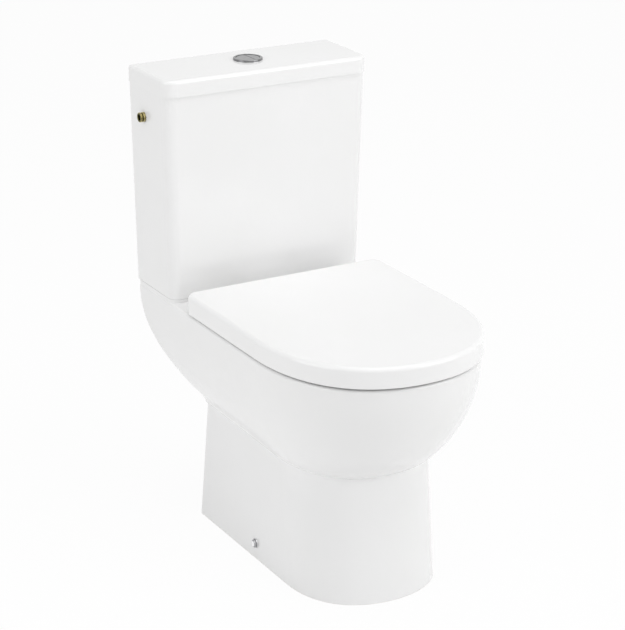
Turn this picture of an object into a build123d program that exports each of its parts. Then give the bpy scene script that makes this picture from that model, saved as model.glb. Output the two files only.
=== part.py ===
from build123d import *
import os

# Close coupled toilet, millimetres. X runs across, +Y to the wall behind, +Z up.
# The origin is on the floor, on the centre plane, half way from the wall to the front of the cover.
# Lengths called front, back, shoulder or reach are measured out from the wall plane.

# Whole object
overall_depth = 646.0
wall_y = overall_depth / 2
front_fullness = 0.624

# Pan, outside
rim_z = 404.0
rim_half_width = 183.0
rim_front = 642.0
rim_back = 3.5
rim_shoulder = 429.0
rim_edge_radius = 4.0
crease_z = 217.0
crease_half_width = 128.0
crease_front = 547.0
crease_back = 134.5
crease_shoulder = 402.0
crease_edge_radius = 6.0
hull_lower_power = 2.12
hull_upper_power = 1.1
hull_levels = (0.0, 0.06, 0.12, 0.2, 0.32, 0.46, 0.6, 0.76, 0.9, 1.0)
neck_level = 0.056
rear_power = 2.3
foot_half_width = 127.0
foot_front = 560.5
foot_back = 115.0
foot_shoulder = 427.0
ankle_inset = 4.5
back_corner_radius = 8.0

# Pan, inside
ceramic_wall = 12.0
hull_wall = 15.0
shelf_thickness = 16.0
shelf_rise = 6.0
void_past_wall = 40.0
rim_width_side = 63.0
rim_width_front = 42.0
basin_back = 285.0
basin_shoulder = 440.0
basin_depth = 247.0
basin_power = 2.2
basin_levels = (0.0, 0.1, 0.25, 0.45, 0.7, 1.0)
sump_half_width = 40.0
sump_front = 425.0
sump_back = 325.0
sump_shoulder = 370.0
sump_corner_radius = 34.0

# Trapway and soil outlet
trap_bore_radius = 28.0
trap_wall = 11.0
trap_bend = 42.0
trap_inlet_reach = 380.0
trap_rise_reach = 290.0
trap_crest_front = 250.0
trap_crest_back = 186.0
trap_drop_reach = 160.0
trap_crest_z = 290.0
outlet_z = 180.0
outlet_radius = 51.0
outlet_bore_radius = 42.0
outlet_end = 92.0
outlet_length = 32.0
outlet_neck_radius = 48.0
outlet_neck_length = 12.0
outlet_bore_depth = 36.0

# Flush way through the pan
flush_reach = 66.0
well_radius = 49.0
well_depth = 32.0
well_wall = 11.0
well_hole_radius = 26.0
duct_half_width = 24.0
duct_wall = 10.0
duct_height = 21.0

# Cistern
tank_gap = 0.3
tank_top_z = 760.0
tank_top_half_width = 189.6
tank_top_depth = 139.5
tank_base_half_width = 182.1
tank_base_depth = 135.0
tank_wall = 9.0
tank_floor = 12.0
tank_front_radius = 18.0
tank_back_radius = 4.0
tank_trim = 3.0
tank_inner_radius = 8.0
tank_base_radius = 0.6
lid_height = 28.0
lid_overhang = 1.4
lid_front_overhang = 3.0
lid_plate = 12.0
lid_wall = 14.0
lid_front_radius = 20.0
lid_top_radius = 6.0
lip_height = 8.0
lip_width = 6.0
lip_clearance = 2.0

# Seat, cover and their hinge
hinge_reach = 202.0
hinge_z = 424.0
hinge_x = 78.0
cover_half_width = 185.3
cover_front = 646.0
cover_tail = 16.0
cover_tail_drop = 6.0
cover_swing_gap = 1.0
cover_shoulder = 429.0
cover_base_z = 409.0
cover_top_z = 442.5
cover_wall = 4.8
cover_top_radius = 7.0
seat_corner_radius = 18.0
seat_side_gap = 3.0
seat_setback = 14.0
seat_base_z = 411.0
seat_top_z = 430.0
seat_edge_radius = 7.0
seat_hole_half_width = 108.0
seat_hole_front = 590.0
seat_hole_back = 300.0
seat_hole_shoulder = 450.0
seat_hole_radius = 100.0
bumper_length = 26.0
bumper_width = 10.0
rear_bumper_x = 140.0
rear_bumper_reach = 262.0
front_bumper_x = 118.0
front_bumper_reach = 550.0
post_width = 24.0
post_radius = 9.0
post_pad = 1.5
lug_gap = 2.0
lug_width = 12.0
lug_reach = 28.0
pin_radius = 4.0
running_clearance = 0.05
stud_radius = 4.0
stud_length = 50.0
stud_hole_radius = 6.0
stud_clearance = 0.15
cone_washer_radius = 11.0
washer_height = 4.0
wing_nut_radius = 8.0
wing_nut_height = 12.0
wing_span = 34.0
wing_thickness = 3.0

# Push button
button_ring_radius = 25.0
button_ring_height = 3.5
button_ring_edge = 1.2
sleeve_radius = 22.4
sleeve_bore_radius = 20.5
lid_hole_radius = 23.0
sleeve_nut_radius = 31.0
sleeve_nut_height = 8.0
sleeve_clearance = 0.1
guide_flange = 4.0
guide_plug = 6.0
button_clearance = 0.3
button_split_x = 4.0
button_split_gap = 0.5
button_height = 11.0
button_proud = 3.0
button_edge = 0.9
button_travel = 8.0
spring_room = 22.0
rod_radius = 2.5
rod_clearance = 0.3
full_rod_x = -11.0
full_rod_y = -10.0
half_rod_x = 9.0
half_rod_y = 8.0

# Flush valve
tail_radius = 31.0
tail_bore_radius = 26.0
tail_drop = 22.0
tail_hole_radius = 32.0
valve_flange_radius = 38.0
valve_flange_height = 6.0
valve_washer_height = 3.0
valve_seat_radius = 30.0
valve_seat_height = 4.0
back_nut_radius = 43.0
back_nut_height = 11.0
doughnut_radius = 46.0
tail_clearance = 0.2
cage_radius = 35.0
cage_leg_depth = 5.0
cage_leg_width = 12.0
cage_top_z = 660.0
cage_plate = 5.0
tube_radius = 13.0
tube_bore_radius = 10.5
tube_top_z = 640.0
tube_foot_radius = 20.0
tube_foot_height = 4.0
seal_radius = 28.5
seal_height = 4.0
hook_x = 18.0
hook_width = 5.0
hook_depth = 8.0
hook_foot = 8.0
hook_foot_height = 4.0
hook_slot_clearance = 1.2
rocker_pivot_x = 2.0
rocker_pivot_z = 674.0
rocker_left = 18.0
rocker_right = 14.0
rocker_height = 6.0
rocker_depth = 6.0
rocker_pin_radius = 1.5
rocker_rod_gap = 1.5
rocker_hook_gap = 3.0
cheek_width = 12.0
cheek_depth = 4.0
cheek_gap = 0.6
latch_room = 1.0
latch_head_height = 4.0
latch_x = 20.0
latch_y = 13.0
latch_radius = 2.5
latch_drop = 60.0
latch_rod_gap = 1.0

# Coupling between cistern and pan
coupling_x = 88.0
coupling_radius = 4.0
coupling_hole_radius = 6.0
coupling_head_radius = 9.0
coupling_head_height = 6.0
coupling_washer_radius = 14.0
coupling_length = 70.0
pad_length = 60.0
pad_width = 22.0
pad_x = 140.0
pad_pocket = 0.8
pad_clearance = 0.5

# Fill valve and float
inlet_reach = 54.0
inlet_z = 710.0
inlet_radius = 8.33
inlet_proud = 9.2
inlet_bore_radius = 5.0
inlet_groove = 2.0
inlet_groove_depth = 1.2
shank_radius = 7.6
shank_hole_radius = 8.1
shank_length = 30.0
collar_gap = 0.3
inlet_washer_radius = 14.0
inlet_washer_height = 2.5
inlet_nut_radius = 14.0
inlet_nut_height = 7.5
fill_body_radius = 13.0
fill_body_length = 54.0
fill_socket = 9.0
fill_cap_radius = 17.0
fill_cap_height = 8.0
spout_offset = 18.0
spout_radius = 10.5
spout_drop = 22.0
discharge_radius = 8.0
discharge_bore_radius = 6.3
discharge_length = 240.0
arm_pivot_rise = 24.0
arm_width = 6.0
arm_thickness = 5.0
arm_pin_radius = 1.5
arm_eye_radius = 4.5
arm_cheek = 3.0
arm_cheek_gap = 0.6
float_offset = 36.0
float_radius = 24.0
float_height = 42.0
float_wall = 2.5
float_shift = 4.0

# Floor fixing
fixing_reach = 321.0
fixing_z = 28.5
fixing_hole_radius = 7.0
sleeve_tube_radius = 6.7
side_screw_radius = 3.0
side_screw_head_radius = 6.0
side_screw_head = 3.0
side_screw_length = 34.0
side_cap_radius = 8.5
side_cap_wall = 1.5
side_cap_proud = 6.0
side_cap_edge = 1.5
bracket_leg_x = 113.0
bracket_thickness = 4.0
bracket_foot = 43.0
bracket_width = 40.0
bracket_height = 52.0
bracket_hole_radius = 4.0
bracket_hole_x = 90.0


def from_wall(reach):
    """Y of a point that many millimetres out from the wall."""
    return wall_y - reach


def blend(low, high, share):
    """Value that share of the way from low to high."""
    return low + (high - low) * share


def hull_share(level):
    """How far the bowl has flared out, 0 at the crease and 1 at the rim."""
    return (1 - (1 - level) ** hull_lower_power) ** (1 / hull_upper_power)


def rear_share(level):
    """How far the back of the bowl has swept out, 0 at the neck and 1 at the rim."""
    rise = max(level - neck_level, 0) / (1 - neck_level)
    return 1 - (1 - rise) ** rear_power


def basin_share(level):
    """How far the basin has opened, 0 at the sump floor and 1 at the rim."""
    return 1 - (1 - level) ** basin_power


def bowed_outline(half_width, front, back, shoulder, corner, back_half_width=None):
    """Outline with straight sides, a bowed front and two round corners at the back.

    The sides draw in towards the back where it has a half width of its own.
    """
    back_half = half_width if back_half_width is None else back_half_width
    front_y = from_wall(front)
    back_y = from_wall(back)
    side_y = from_wall(shoulder)
    corner_y = back_y - corner
    handle_y = side_y - front_fullness * (side_y - front_y)
    handle_x = front_fullness * half_width
    bulge_x = half_width + (half_width - back_half) * (side_y - handle_y) / (corner_y - side_y)
    with BuildLine() as outline:
        Line((back_half - corner, back_y), (corner - back_half, back_y))
        CenterArc((corner - back_half, corner_y), corner, 90, 90)
        Line((-back_half, corner_y), (-half_width, side_y))
        Bezier((-half_width, side_y), (-bulge_x, handle_y), (-handle_x, front_y), (0, front_y))
        Bezier((0, front_y), (handle_x, front_y), (bulge_x, handle_y), (half_width, side_y))
        Line((half_width, side_y), (back_half, corner_y))
        CenterArc((back_half - corner, corner_y), corner, 0, 90)
    make_face(outline.edges())


def hull_outline(level, inset, end):
    """Outline of the bowl at a level, drawn in by a wall, with its back at any reach."""
    share = hull_share(level)
    rear = rear_share(level)
    half_width = blend(crease_half_width, rim_half_width, share)
    rear_half_width = blend(crease_half_width, rim_half_width, rear)
    shoulder = blend(crease_shoulder, rim_shoulder, share)
    way_back = (shoulder - end) / (shoulder - hull_back(level))
    bowed_outline(
        half_width - inset,
        blend(crease_front, rim_front, share) - inset,
        end,
        shoulder,
        back_corner_radius,
        blend(half_width, rear_half_width, way_back) - inset,
    )


def hull_back(level):
    """Reach of the bowl's back at a level."""
    return blend(crease_back, rim_back, rear_share(level))


def box_outline(half_width, front, back, front_corner, back_corner):
    """Rectangle against the wall with its own corner radius at the front and at the back."""
    front_y = from_wall(front)
    back_y = from_wall(back)
    with BuildLine() as outline:
        Line((half_width - back_corner, back_y), (back_corner - half_width, back_y))
        CenterArc((back_corner - half_width, back_y - back_corner), back_corner, 90, 90)
        Line((-half_width, back_y - back_corner), (-half_width, front_y + front_corner))
        CenterArc((front_corner - half_width, front_y + front_corner), front_corner, 180, 90)
        Line((front_corner - half_width, front_y), (half_width - front_corner, front_y))
        CenterArc((half_width - front_corner, front_y + front_corner), front_corner, 270, 90)
        Line((half_width, front_y + front_corner), (half_width, back_y - back_corner))
        CenterArc((half_width - back_corner, back_y - back_corner), back_corner, 0, 90)
    make_face(outline.edges())


def keep(builder, name):
    """Label a finished piece and write it out."""
    builder.part.label = name
    export_step(builder.part, f"parts/{name}.step")


os.makedirs("parts", exist_ok=True)

sides = (-1, 1)
shelf_z = rim_z - shelf_thickness
sump_z = rim_z - basin_depth
plinth_z = rim_z + shelf_rise
tank_z = plinth_z + tank_gap
tank_floor_z = tank_z + tank_floor
lid_half_width = tank_top_half_width + lid_overhang
lid_depth = tank_top_depth + lid_front_overhang
lid_top_z = tank_top_z + lid_height
lid_under_z = lid_top_z - lid_plate
flush_y = from_wall(flush_reach)
hinge_y = from_wall(hinge_reach)
fixing_y = from_wall(fixing_reach)
inlet_y = from_wall(inlet_reach)
well_z = rim_z - well_depth
trap_radius = trap_bore_radius + trap_wall
duct_top_z = well_z - duct_wall
duct_base_z = duct_top_z - duct_height

# Spaces and blocks that several pieces of the pan are cut by
with BuildPart() as basin_space:
    for level in basin_levels:
        share = basin_share(level)
        with BuildSketch(Plane.XY.offset(blend(sump_z, rim_z, level))):
            bowed_outline(
                blend(sump_half_width, rim_half_width - rim_width_side, share),
                blend(sump_front, rim_front - rim_width_front, share),
                blend(sump_back, basin_back, share),
                blend(sump_shoulder, basin_shoulder, share),
                sump_corner_radius,
            )
    loft()
with BuildPart() as basin_block:
    for level in basin_levels:
        share = basin_share(level)
        height = blend(sump_z - ceramic_wall, rim_z - shelf_thickness / 2, level)
        with BuildSketch(Plane.XY.offset(height)):
            bowed_outline(
                blend(sump_half_width, rim_half_width - rim_width_side, share) + ceramic_wall,
                blend(sump_front, rim_front - rim_width_front, share) + ceramic_wall,
                blend(sump_back, basin_back, share) - ceramic_wall,
                blend(sump_shoulder, basin_shoulder, share),
                sump_corner_radius + ceramic_wall,
            )
    loft()
with BuildLine(Plane.YZ) as trap_line:
    FilletPolyline(
        (from_wall(trap_inlet_reach), sump_z + trap_bore_radius),
        (from_wall(trap_rise_reach), sump_z + trap_bore_radius),
        (from_wall(trap_crest_front), trap_crest_z),
        (from_wall(trap_crest_back), trap_crest_z),
        (from_wall(trap_drop_reach), outlet_z),
        (from_wall(outlet_end), outlet_z),
        radius=trap_bend,
    )
with BuildPart() as trap_space:
    with BuildSketch(Plane(trap_line.line @ 0, z_dir=trap_line.line % 0)):
        Circle(trap_bore_radius)
    sweep(path=trap_line.line)
with BuildPart() as outlet_block:
    with BuildSketch(Plane.XZ.offset(-from_wall(outlet_end + outlet_length))):
        with Locations((0, outlet_z)):
            Circle(outlet_radius)
    extrude(amount=-outlet_length)
    with BuildSketch(Plane.XZ.offset(-from_wall(outlet_end + outlet_length))):
        with Locations((0, outlet_z)):
            Circle(outlet_neck_radius)
    extrude(amount=outlet_neck_length)
with BuildPart() as flush_space:
    with BuildSketch(Plane.XY.offset(duct_base_z)):
        with Locations((0, from_wall(blend(flush_reach, basin_back + duct_wall, 0.5)))):
            Rectangle(2 * duct_half_width, basin_back + duct_wall - flush_reach)
    extrude(amount=duct_height)
    with BuildSketch(Plane.XY.offset(duct_base_z)):
        with Locations((0, flush_y)):
            Circle(well_hole_radius)
    extrude(amount=well_z - duct_base_z)
    with BuildSketch(Plane.XY.offset(well_z)):
        with Locations((0, flush_y)):
            Circle(well_radius)
    extrude(amount=plinth_z - well_z)

# Pan: bowl with its rim, its shelf and the low plinth that the cistern stands on
with BuildPart() as pan:
    for level in hull_levels:
        with BuildSketch(Plane.XY.offset(blend(crease_z, rim_z, level))):
            hull_outline(level, 0, hull_back(level))
    loft()
    fillet(pan.faces().sort_by(Axis.Z)[-1].outer_wire().edges(), rim_edge_radius)
    fillet(pan.faces().sort_by(Axis.Z)[0].outer_wire().edges(), crease_edge_radius)
    with BuildSketch(Plane.XY.offset(rim_z - rim_edge_radius)):
        box_outline(
            tank_base_half_width, tank_base_depth, rim_back, tank_front_radius, back_corner_radius
        )
    extrude(amount=rim_edge_radius + shelf_rise)
    # Hollow under the rim and the shelf, open below and to the wall
    for level in hull_levels[:-1] + ((shelf_z - crease_z) / (rim_z - crease_z),):
        with BuildSketch(Plane.XY.offset(blend(crease_z, rim_z, level))):
            hull_outline(level, hull_wall, -void_past_wall)
    loft(mode=Mode.SUBTRACT)
    add(basin_space.part, mode=Mode.SUBTRACT)
    add(flush_space.part, mode=Mode.SUBTRACT)
    # Holes for the hinge studs and the coupling bolts
    with BuildSketch(Plane.XY.offset(plinth_z)):
        with Locations((-hinge_x, hinge_y), (hinge_x, hinge_y)):
            Circle(stud_hole_radius)
        with Locations((-coupling_x, flush_y), (coupling_x, flush_y)):
            Circle(coupling_hole_radius)
    extrude(amount=shelf_z - plinth_z, mode=Mode.SUBTRACT)
    # Pockets for the pads under the cistern
    with BuildSketch(Plane.XY.offset(plinth_z)):
        with Locations((-pad_x, flush_y), (pad_x, flush_y)):
            Rectangle(pad_width + 2 * pad_clearance, pad_length + 2 * pad_clearance)
    extrude(amount=-pad_pocket, mode=Mode.SUBTRACT)
keep(pan, "pan")

# Foot under the bowl, hollow, open to the floor and to the wall
with BuildPart() as pan_foot:
    with BuildSketch(Plane.XY):
        bowed_outline(foot_half_width, foot_front, foot_back, foot_shoulder, back_corner_radius)
    with BuildSketch(Plane.XY.offset(crease_z)):
        bowed_outline(
            crease_half_width - ankle_inset,
            crease_front - ankle_inset,
            crease_back + ankle_inset,
            crease_shoulder,
            back_corner_radius,
        )
    loft()
    with BuildSketch(Plane.XY):
        bowed_outline(
            foot_half_width - ceramic_wall,
            foot_front - ceramic_wall,
            -void_past_wall,
            foot_shoulder,
            back_corner_radius,
        )
    with BuildSketch(Plane.XY.offset(crease_z)):
        bowed_outline(
            crease_half_width - ankle_inset - ceramic_wall,
            crease_front - ankle_inset - ceramic_wall,
            -void_past_wall,
            crease_shoulder,
            back_corner_radius,
        )
    loft(mode=Mode.SUBTRACT)
    with BuildSketch(Plane.YZ):
        with Locations((fixing_y, fixing_z)):
            Circle(fixing_hole_radius)
    extrude(amount=rim_half_width, both=True, mode=Mode.SUBTRACT)
keep(pan_foot, "pan_foot")

# Inside of the pan: basin, flush way, trapway and soil outlet
with BuildPart() as pan_basin:
    add(basin_block.part)
    for space in (basin_space, trap_space, flush_space, pan):
        add(space.part, mode=Mode.SUBTRACT)
keep(pan_basin, "pan_basin")
with BuildPart() as pan_flush_way:
    with BuildSketch(Plane.XY.offset(duct_base_z - duct_wall)):
        with Locations((0, from_wall(blend(flush_reach, basin_back, 0.5)))):
            Rectangle(2 * (duct_half_width + duct_wall), basin_back - flush_reach)
        with Locations((0, flush_y)):
            Circle(well_radius + well_wall)
    extrude(amount=duct_height + 2 * duct_wall)
    with BuildSketch(Plane.XY.offset(well_z)):
        with Locations((0, flush_y)):
            Circle(well_radius + well_wall)
    extrude(amount=shelf_z - well_z)
    for space in (basin_block, flush_space):
        add(space.part, mode=Mode.SUBTRACT)
keep(pan_flush_way, "pan_flush_way")
with BuildPart() as pan_trapway:
    with BuildSketch(Plane(trap_line.line @ 0, z_dir=trap_line.line % 0)):
        Circle(trap_radius)
    sweep(path=trap_line.line)
    for space in (trap_space, basin_block, outlet_block):
        add(space.part, mode=Mode.SUBTRACT)
keep(pan_trapway, "pan_trapway")
with BuildPart() as pan_outlet:
    add(outlet_block.part)
    add(trap_space.part, mode=Mode.SUBTRACT)
    with BuildSketch(Plane.XZ.offset(-from_wall(outlet_end + outlet_bore_depth))):
        with Locations((0, outlet_z)):
            Circle(outlet_bore_radius)
    extrude(amount=-outlet_bore_depth, mode=Mode.SUBTRACT)
keep(pan_outlet, "pan_outlet")

# Cistern tank
with BuildPart() as cistern_tank:
    with BuildSketch(Plane.XY.offset(tank_z)):
        box_outline(tank_base_half_width, tank_base_depth, -tank_trim, tank_front_radius, tank_trim / 2)
    with BuildSketch(Plane.XY.offset(tank_top_z)):
        box_outline(tank_top_half_width, tank_top_depth, -tank_trim, tank_front_radius, tank_trim / 2)
    loft(ruled=True)
    split(bisect_by=Plane.XZ.offset(-wall_y))
    back_edges = cistern_tank.faces().sort_by(Axis.Y)[-1].edges().sort_by(Axis.X)
    fillet((back_edges[0], back_edges[-1]), tank_back_radius)
    fillet(cistern_tank.faces().sort_by(Axis.Z)[0].outer_wire().edges(), tank_base_radius)
    with BuildSketch(Plane.XY.offset(tank_floor_z)):
        box_outline(
            tank_base_half_width - tank_wall,
            tank_base_depth - tank_wall,
            tank_wall,
            tank_inner_radius,
            tank_inner_radius,
        )
    with BuildSketch(Plane.XY.offset(tank_top_z)):
        box_outline(
            tank_top_half_width - tank_wall,
            tank_top_depth - tank_wall,
            tank_wall,
            tank_inner_radius,
            tank_inner_radius,
        )
    loft(ruled=True, mode=Mode.SUBTRACT)
    with BuildSketch(Plane.XY.offset(tank_z)):
        with Locations((0, flush_y)):
            Circle(tail_hole_radius)
        with Locations((-coupling_x, flush_y), (coupling_x, flush_y)):
            Circle(coupling_hole_radius)
    extrude(amount=tank_floor, mode=Mode.SUBTRACT)
    with BuildSketch(Plane.YZ):
        with Locations((inlet_y, inlet_z)):
            Circle(shank_hole_radius)
    extrude(amount=-2 * tank_top_half_width, mode=Mode.SUBTRACT)
keep(cistern_tank, "cistern_tank")

# Cistern lid
with BuildPart() as cistern_lid:
    with BuildSketch(Plane.XY.offset(tank_top_z)):
        box_outline(lid_half_width, lid_depth, 0, lid_front_radius, tank_back_radius)
    extrude(amount=lid_height)
    fillet(cistern_lid.faces().sort_by(Axis.Z)[-1].outer_wire().edges(), lid_top_radius)
    with BuildSketch(Plane.XY.offset(tank_top_z)):
        box_outline(lid_half_width - lid_wall, lid_depth - lid_wall, lid_wall, lid_wall, lid_wall)
    extrude(amount=lid_height - lid_plate, mode=Mode.SUBTRACT)
    lip_inset = tank_wall + lip_clearance
    lip_inner = lip_inset + lip_width
    with BuildSketch(Plane.XY.offset(tank_top_z - lip_height)):
        box_outline(
            tank_base_half_width - lip_inset,
            tank_base_depth - lip_inset,
            lip_inset,
            tank_inner_radius,
            tank_inner_radius,
        )
        with BuildLine():
            Polyline(
                (lip_inner - tank_base_half_width, from_wall(lip_inner)),
                (tank_base_half_width - lip_inner, from_wall(lip_inner)),
                (tank_base_half_width - lip_inner, from_wall(tank_base_depth - lip_inner)),
                (lip_inner - tank_base_half_width, from_wall(tank_base_depth - lip_inner)),
                close=True,
            )
        make_face(mode=Mode.SUBTRACT)
    extrude(amount=lip_height + lid_height - lid_plate)
    with BuildSketch(Plane.XY.offset(lid_under_z)):
        with Locations((0, flush_y)):
            Circle(lid_hole_radius)
    extrude(amount=lid_plate, mode=Mode.SUBTRACT)
keep(cistern_lid, "cistern_lid")

# Seat ring with its two hinge lugs
seat_half_width = cover_half_width - cover_wall - seat_side_gap
seat_front = cover_front - cover_wall - seat_side_gap
seat_back = hinge_reach + seat_setback
lug_bore_radius = pin_radius + running_clearance
seat_lug_x = hinge_x - post_width / 2 - lug_gap - lug_width / 2
cover_lug_x = hinge_x + post_width / 2 + lug_gap + lug_width / 2
with BuildPart() as seat_ring:
    with BuildSketch(Plane.XY.offset(seat_base_z)):
        bowed_outline(seat_half_width, seat_front, seat_back, cover_shoulder, seat_corner_radius)
    extrude(amount=seat_top_z - seat_base_z)
    fillet(seat_ring.faces().sort_by(Axis.Z)[-1].outer_wire().edges(), seat_edge_radius)
    with BuildSketch(Plane.XY.offset(seat_base_z)):
        bowed_outline(
            seat_hole_half_width,
            seat_hole_front,
            seat_hole_back,
            seat_hole_shoulder,
            seat_hole_radius,
        )
    extrude(amount=seat_top_z - seat_base_z, mode=Mode.SUBTRACT)
    fillet(seat_ring.faces().sort_by(Axis.Z)[-1].inner_wires()[0].edges(), seat_edge_radius)
    for side in sides:
        with BuildSketch(Plane.YZ.offset(side * seat_lug_x)):
            with Locations((hinge_y, hinge_z)):
                Circle(post_radius)
            with BuildLine():
                Polyline(
                    (hinge_y, hinge_z - post_radius),
                    (hinge_y - lug_reach, seat_base_z),
                    (hinge_y - lug_reach, seat_top_z - seat_edge_radius),
                    (hinge_y, hinge_z + post_radius),
                    close=True,
                )
            make_face()
        extrude(amount=lug_width / 2, both=True)
    with BuildSketch(Plane.YZ):
        with Locations((hinge_y, hinge_z)):
            Circle(lug_bore_radius)
    extrude(amount=seat_half_width, both=True, mode=Mode.SUBTRACT)
keep(seat_ring, "seat_ring")

# Seat cover, a shell that drops over the ring
cover_back = hinge_reach - cover_tail
cover_under_z = cover_top_z - cover_wall
with BuildPart() as seat_cover:
    with BuildSketch(Plane.XY.offset(cover_base_z)):
        bowed_outline(cover_half_width, cover_front, cover_back, cover_shoulder, seat_corner_radius)
    extrude(amount=cover_top_z - cover_base_z)
    fillet(seat_cover.faces().sort_by(Axis.Z)[-1].outer_wire().edges(), cover_top_radius)
    with BuildSketch(Plane.XY.offset(cover_base_z)):
        bowed_outline(
            cover_half_width - cover_wall,
            cover_front - cover_wall,
            cover_back + cover_wall,
            cover_shoulder,
            seat_corner_radius - cover_wall,
        )
    extrude(amount=cover_under_z - cover_base_z, mode=Mode.SUBTRACT)
    with BuildSketch(Plane.YZ):
        with Locations((hinge_y + cover_tail / 2, (cover_base_z + hinge_z) / 2)):
            Rectangle(cover_tail, hinge_z - cover_base_z)
        with Locations((hinge_y, hinge_z)):
            Circle(hinge_z - rim_z - cover_swing_gap, mode=Mode.SUBTRACT)
    extrude(amount=cover_half_width, both=True, mode=Mode.SUBTRACT)
    with BuildSketch(Plane.XY.offset(cover_base_z)):
        with Locations((0, hinge_y + cover_tail / 2)):
            Rectangle(2 * (seat_half_width - seat_corner_radius / 3), cover_tail)
    extrude(amount=hinge_z - cover_tail_drop - cover_base_z, mode=Mode.SUBTRACT)
    with BuildSketch(Plane.XY.offset(cover_base_z)):
        with Locations((-hinge_x, hinge_y + cover_tail / 2), (hinge_x, hinge_y + cover_tail / 2)):
            Rectangle(post_width + 2 * lug_width + 4 * lug_gap, cover_tail)
    extrude(amount=cover_under_z - cover_base_z, mode=Mode.SUBTRACT)
    for side in sides:
        with BuildSketch(Plane.YZ.offset(side * cover_lug_x)):
            with Locations((hinge_y, hinge_z)):
                Circle(post_radius)
            with BuildLine():
                Polyline(
                    (hinge_y - post_radius, hinge_z),
                    (hinge_y - lug_reach, cover_under_z),
                    (hinge_y + post_radius, cover_under_z),
                    (hinge_y + post_radius, hinge_z),
                    close=True,
                )
            make_face()
        extrude(amount=lug_width / 2, both=True)
    with BuildSketch(Plane.YZ):
        with Locations((hinge_y, hinge_z)):
            Circle(lug_bore_radius)
    extrude(amount=cover_lug_x + lug_width, both=True, mode=Mode.SUBTRACT)
keep(seat_cover, "seat_cover")

# Rubber buffers under the ring and under the cover
buffer_spots = []
for side in sides:
    buffer_spots.append((side * rear_bumper_x, from_wall(rear_bumper_reach)))
    buffer_spots.append((side * front_bumper_x, from_wall(front_bumper_reach)))
with BuildPart() as seat_buffers:
    with BuildSketch(Plane.XY.offset(rim_z)):
        with Locations(*buffer_spots):
            SlotOverall(bumper_length, bumper_width, rotation=90)
    extrude(amount=seat_base_z - rim_z)
keep(seat_buffers, "seat_buffers")
with BuildPart() as cover_buffers:
    with BuildSketch(Plane.XY.offset(seat_top_z)):
        with Locations(*buffer_spots):
            SlotOverall(bumper_length, bumper_width, rotation=90)
    extrude(amount=cover_under_z - seat_top_z)
keep(cover_buffers, "cover_buffers")

# Seat hinge: posts on rubber pads, pins through the lugs, studs and wing nuts under the pan
hinge_spots = ((-hinge_x, hinge_y), (hinge_x, hinge_y))
post_base_z = rim_z + post_pad
with BuildPart() as hinge_posts:
    for side in sides:
        with BuildSketch(Plane.YZ.offset(side * hinge_x)):
            with Locations((hinge_y, hinge_z)):
                Circle(post_radius)
            with Locations((hinge_y, (post_base_z + hinge_z) / 2)):
                Rectangle(2 * post_radius, hinge_z - post_base_z)
            with Locations((hinge_y, hinge_z)):
                Circle(lug_bore_radius, mode=Mode.SUBTRACT)
        extrude(amount=post_width / 2, both=True)
keep(hinge_posts, "hinge_posts")
with BuildPart() as hinge_post_pads:
    with BuildSketch(Plane.XY.offset(rim_z)):
        with Locations(*hinge_spots):
            Rectangle(post_width, 2 * post_radius)
            Circle(stud_radius + stud_clearance, mode=Mode.SUBTRACT)
    extrude(amount=post_pad)
keep(hinge_post_pads, "hinge_post_pads")
pin_span = cover_lug_x - seat_lug_x + lug_width
with BuildPart() as hinge_pins:
    for side in sides:
        with BuildSketch(Plane.YZ.offset(side * (seat_lug_x + cover_lug_x) / 2)):
            with Locations((hinge_y, hinge_z)):
                Circle(pin_radius)
        extrude(amount=pin_span / 2, both=True)
keep(hinge_pins, "hinge_pins")
with BuildPart() as hinge_studs:
    with BuildSketch(Plane.XY.offset(post_base_z)):
        with Locations(*hinge_spots):
            Circle(stud_radius)
    extrude(amount=-stud_length)
keep(hinge_studs, "hinge_studs")
with BuildPart() as hinge_washers:
    with BuildSketch(Plane.XY.offset(shelf_z)):
        with Locations(*hinge_spots):
            Circle(cone_washer_radius)
            Circle(stud_radius + stud_clearance, mode=Mode.SUBTRACT)
    extrude(amount=-washer_height)
keep(hinge_washers, "hinge_washers")


def add_wing_nuts(spots, bore_radius):
    """Two wing nuts under the washers of the shelf, added to the open builder."""
    nut_top_z = shelf_z - washer_height
    with BuildSketch(Plane.XY.offset(nut_top_z)) as body:
        with Locations(*spots):
            Circle(wing_nut_radius)
            Circle(bore_radius, mode=Mode.SUBTRACT)
    extrude(body.sketch, amount=-wing_nut_height)
    with BuildSketch(Plane.XY.offset(nut_top_z - wing_nut_height / 2)) as wings:
        with Locations(*spots):
            Rectangle(wing_span, wing_thickness)
            Circle(bore_radius, mode=Mode.SUBTRACT)
    extrude(wings.sketch, amount=-wing_nut_height)


with BuildPart() as hinge_wing_nuts:
    add_wing_nuts(hinge_spots, stud_radius + stud_clearance)
keep(hinge_wing_nuts, "hinge_wing_nuts")

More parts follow.
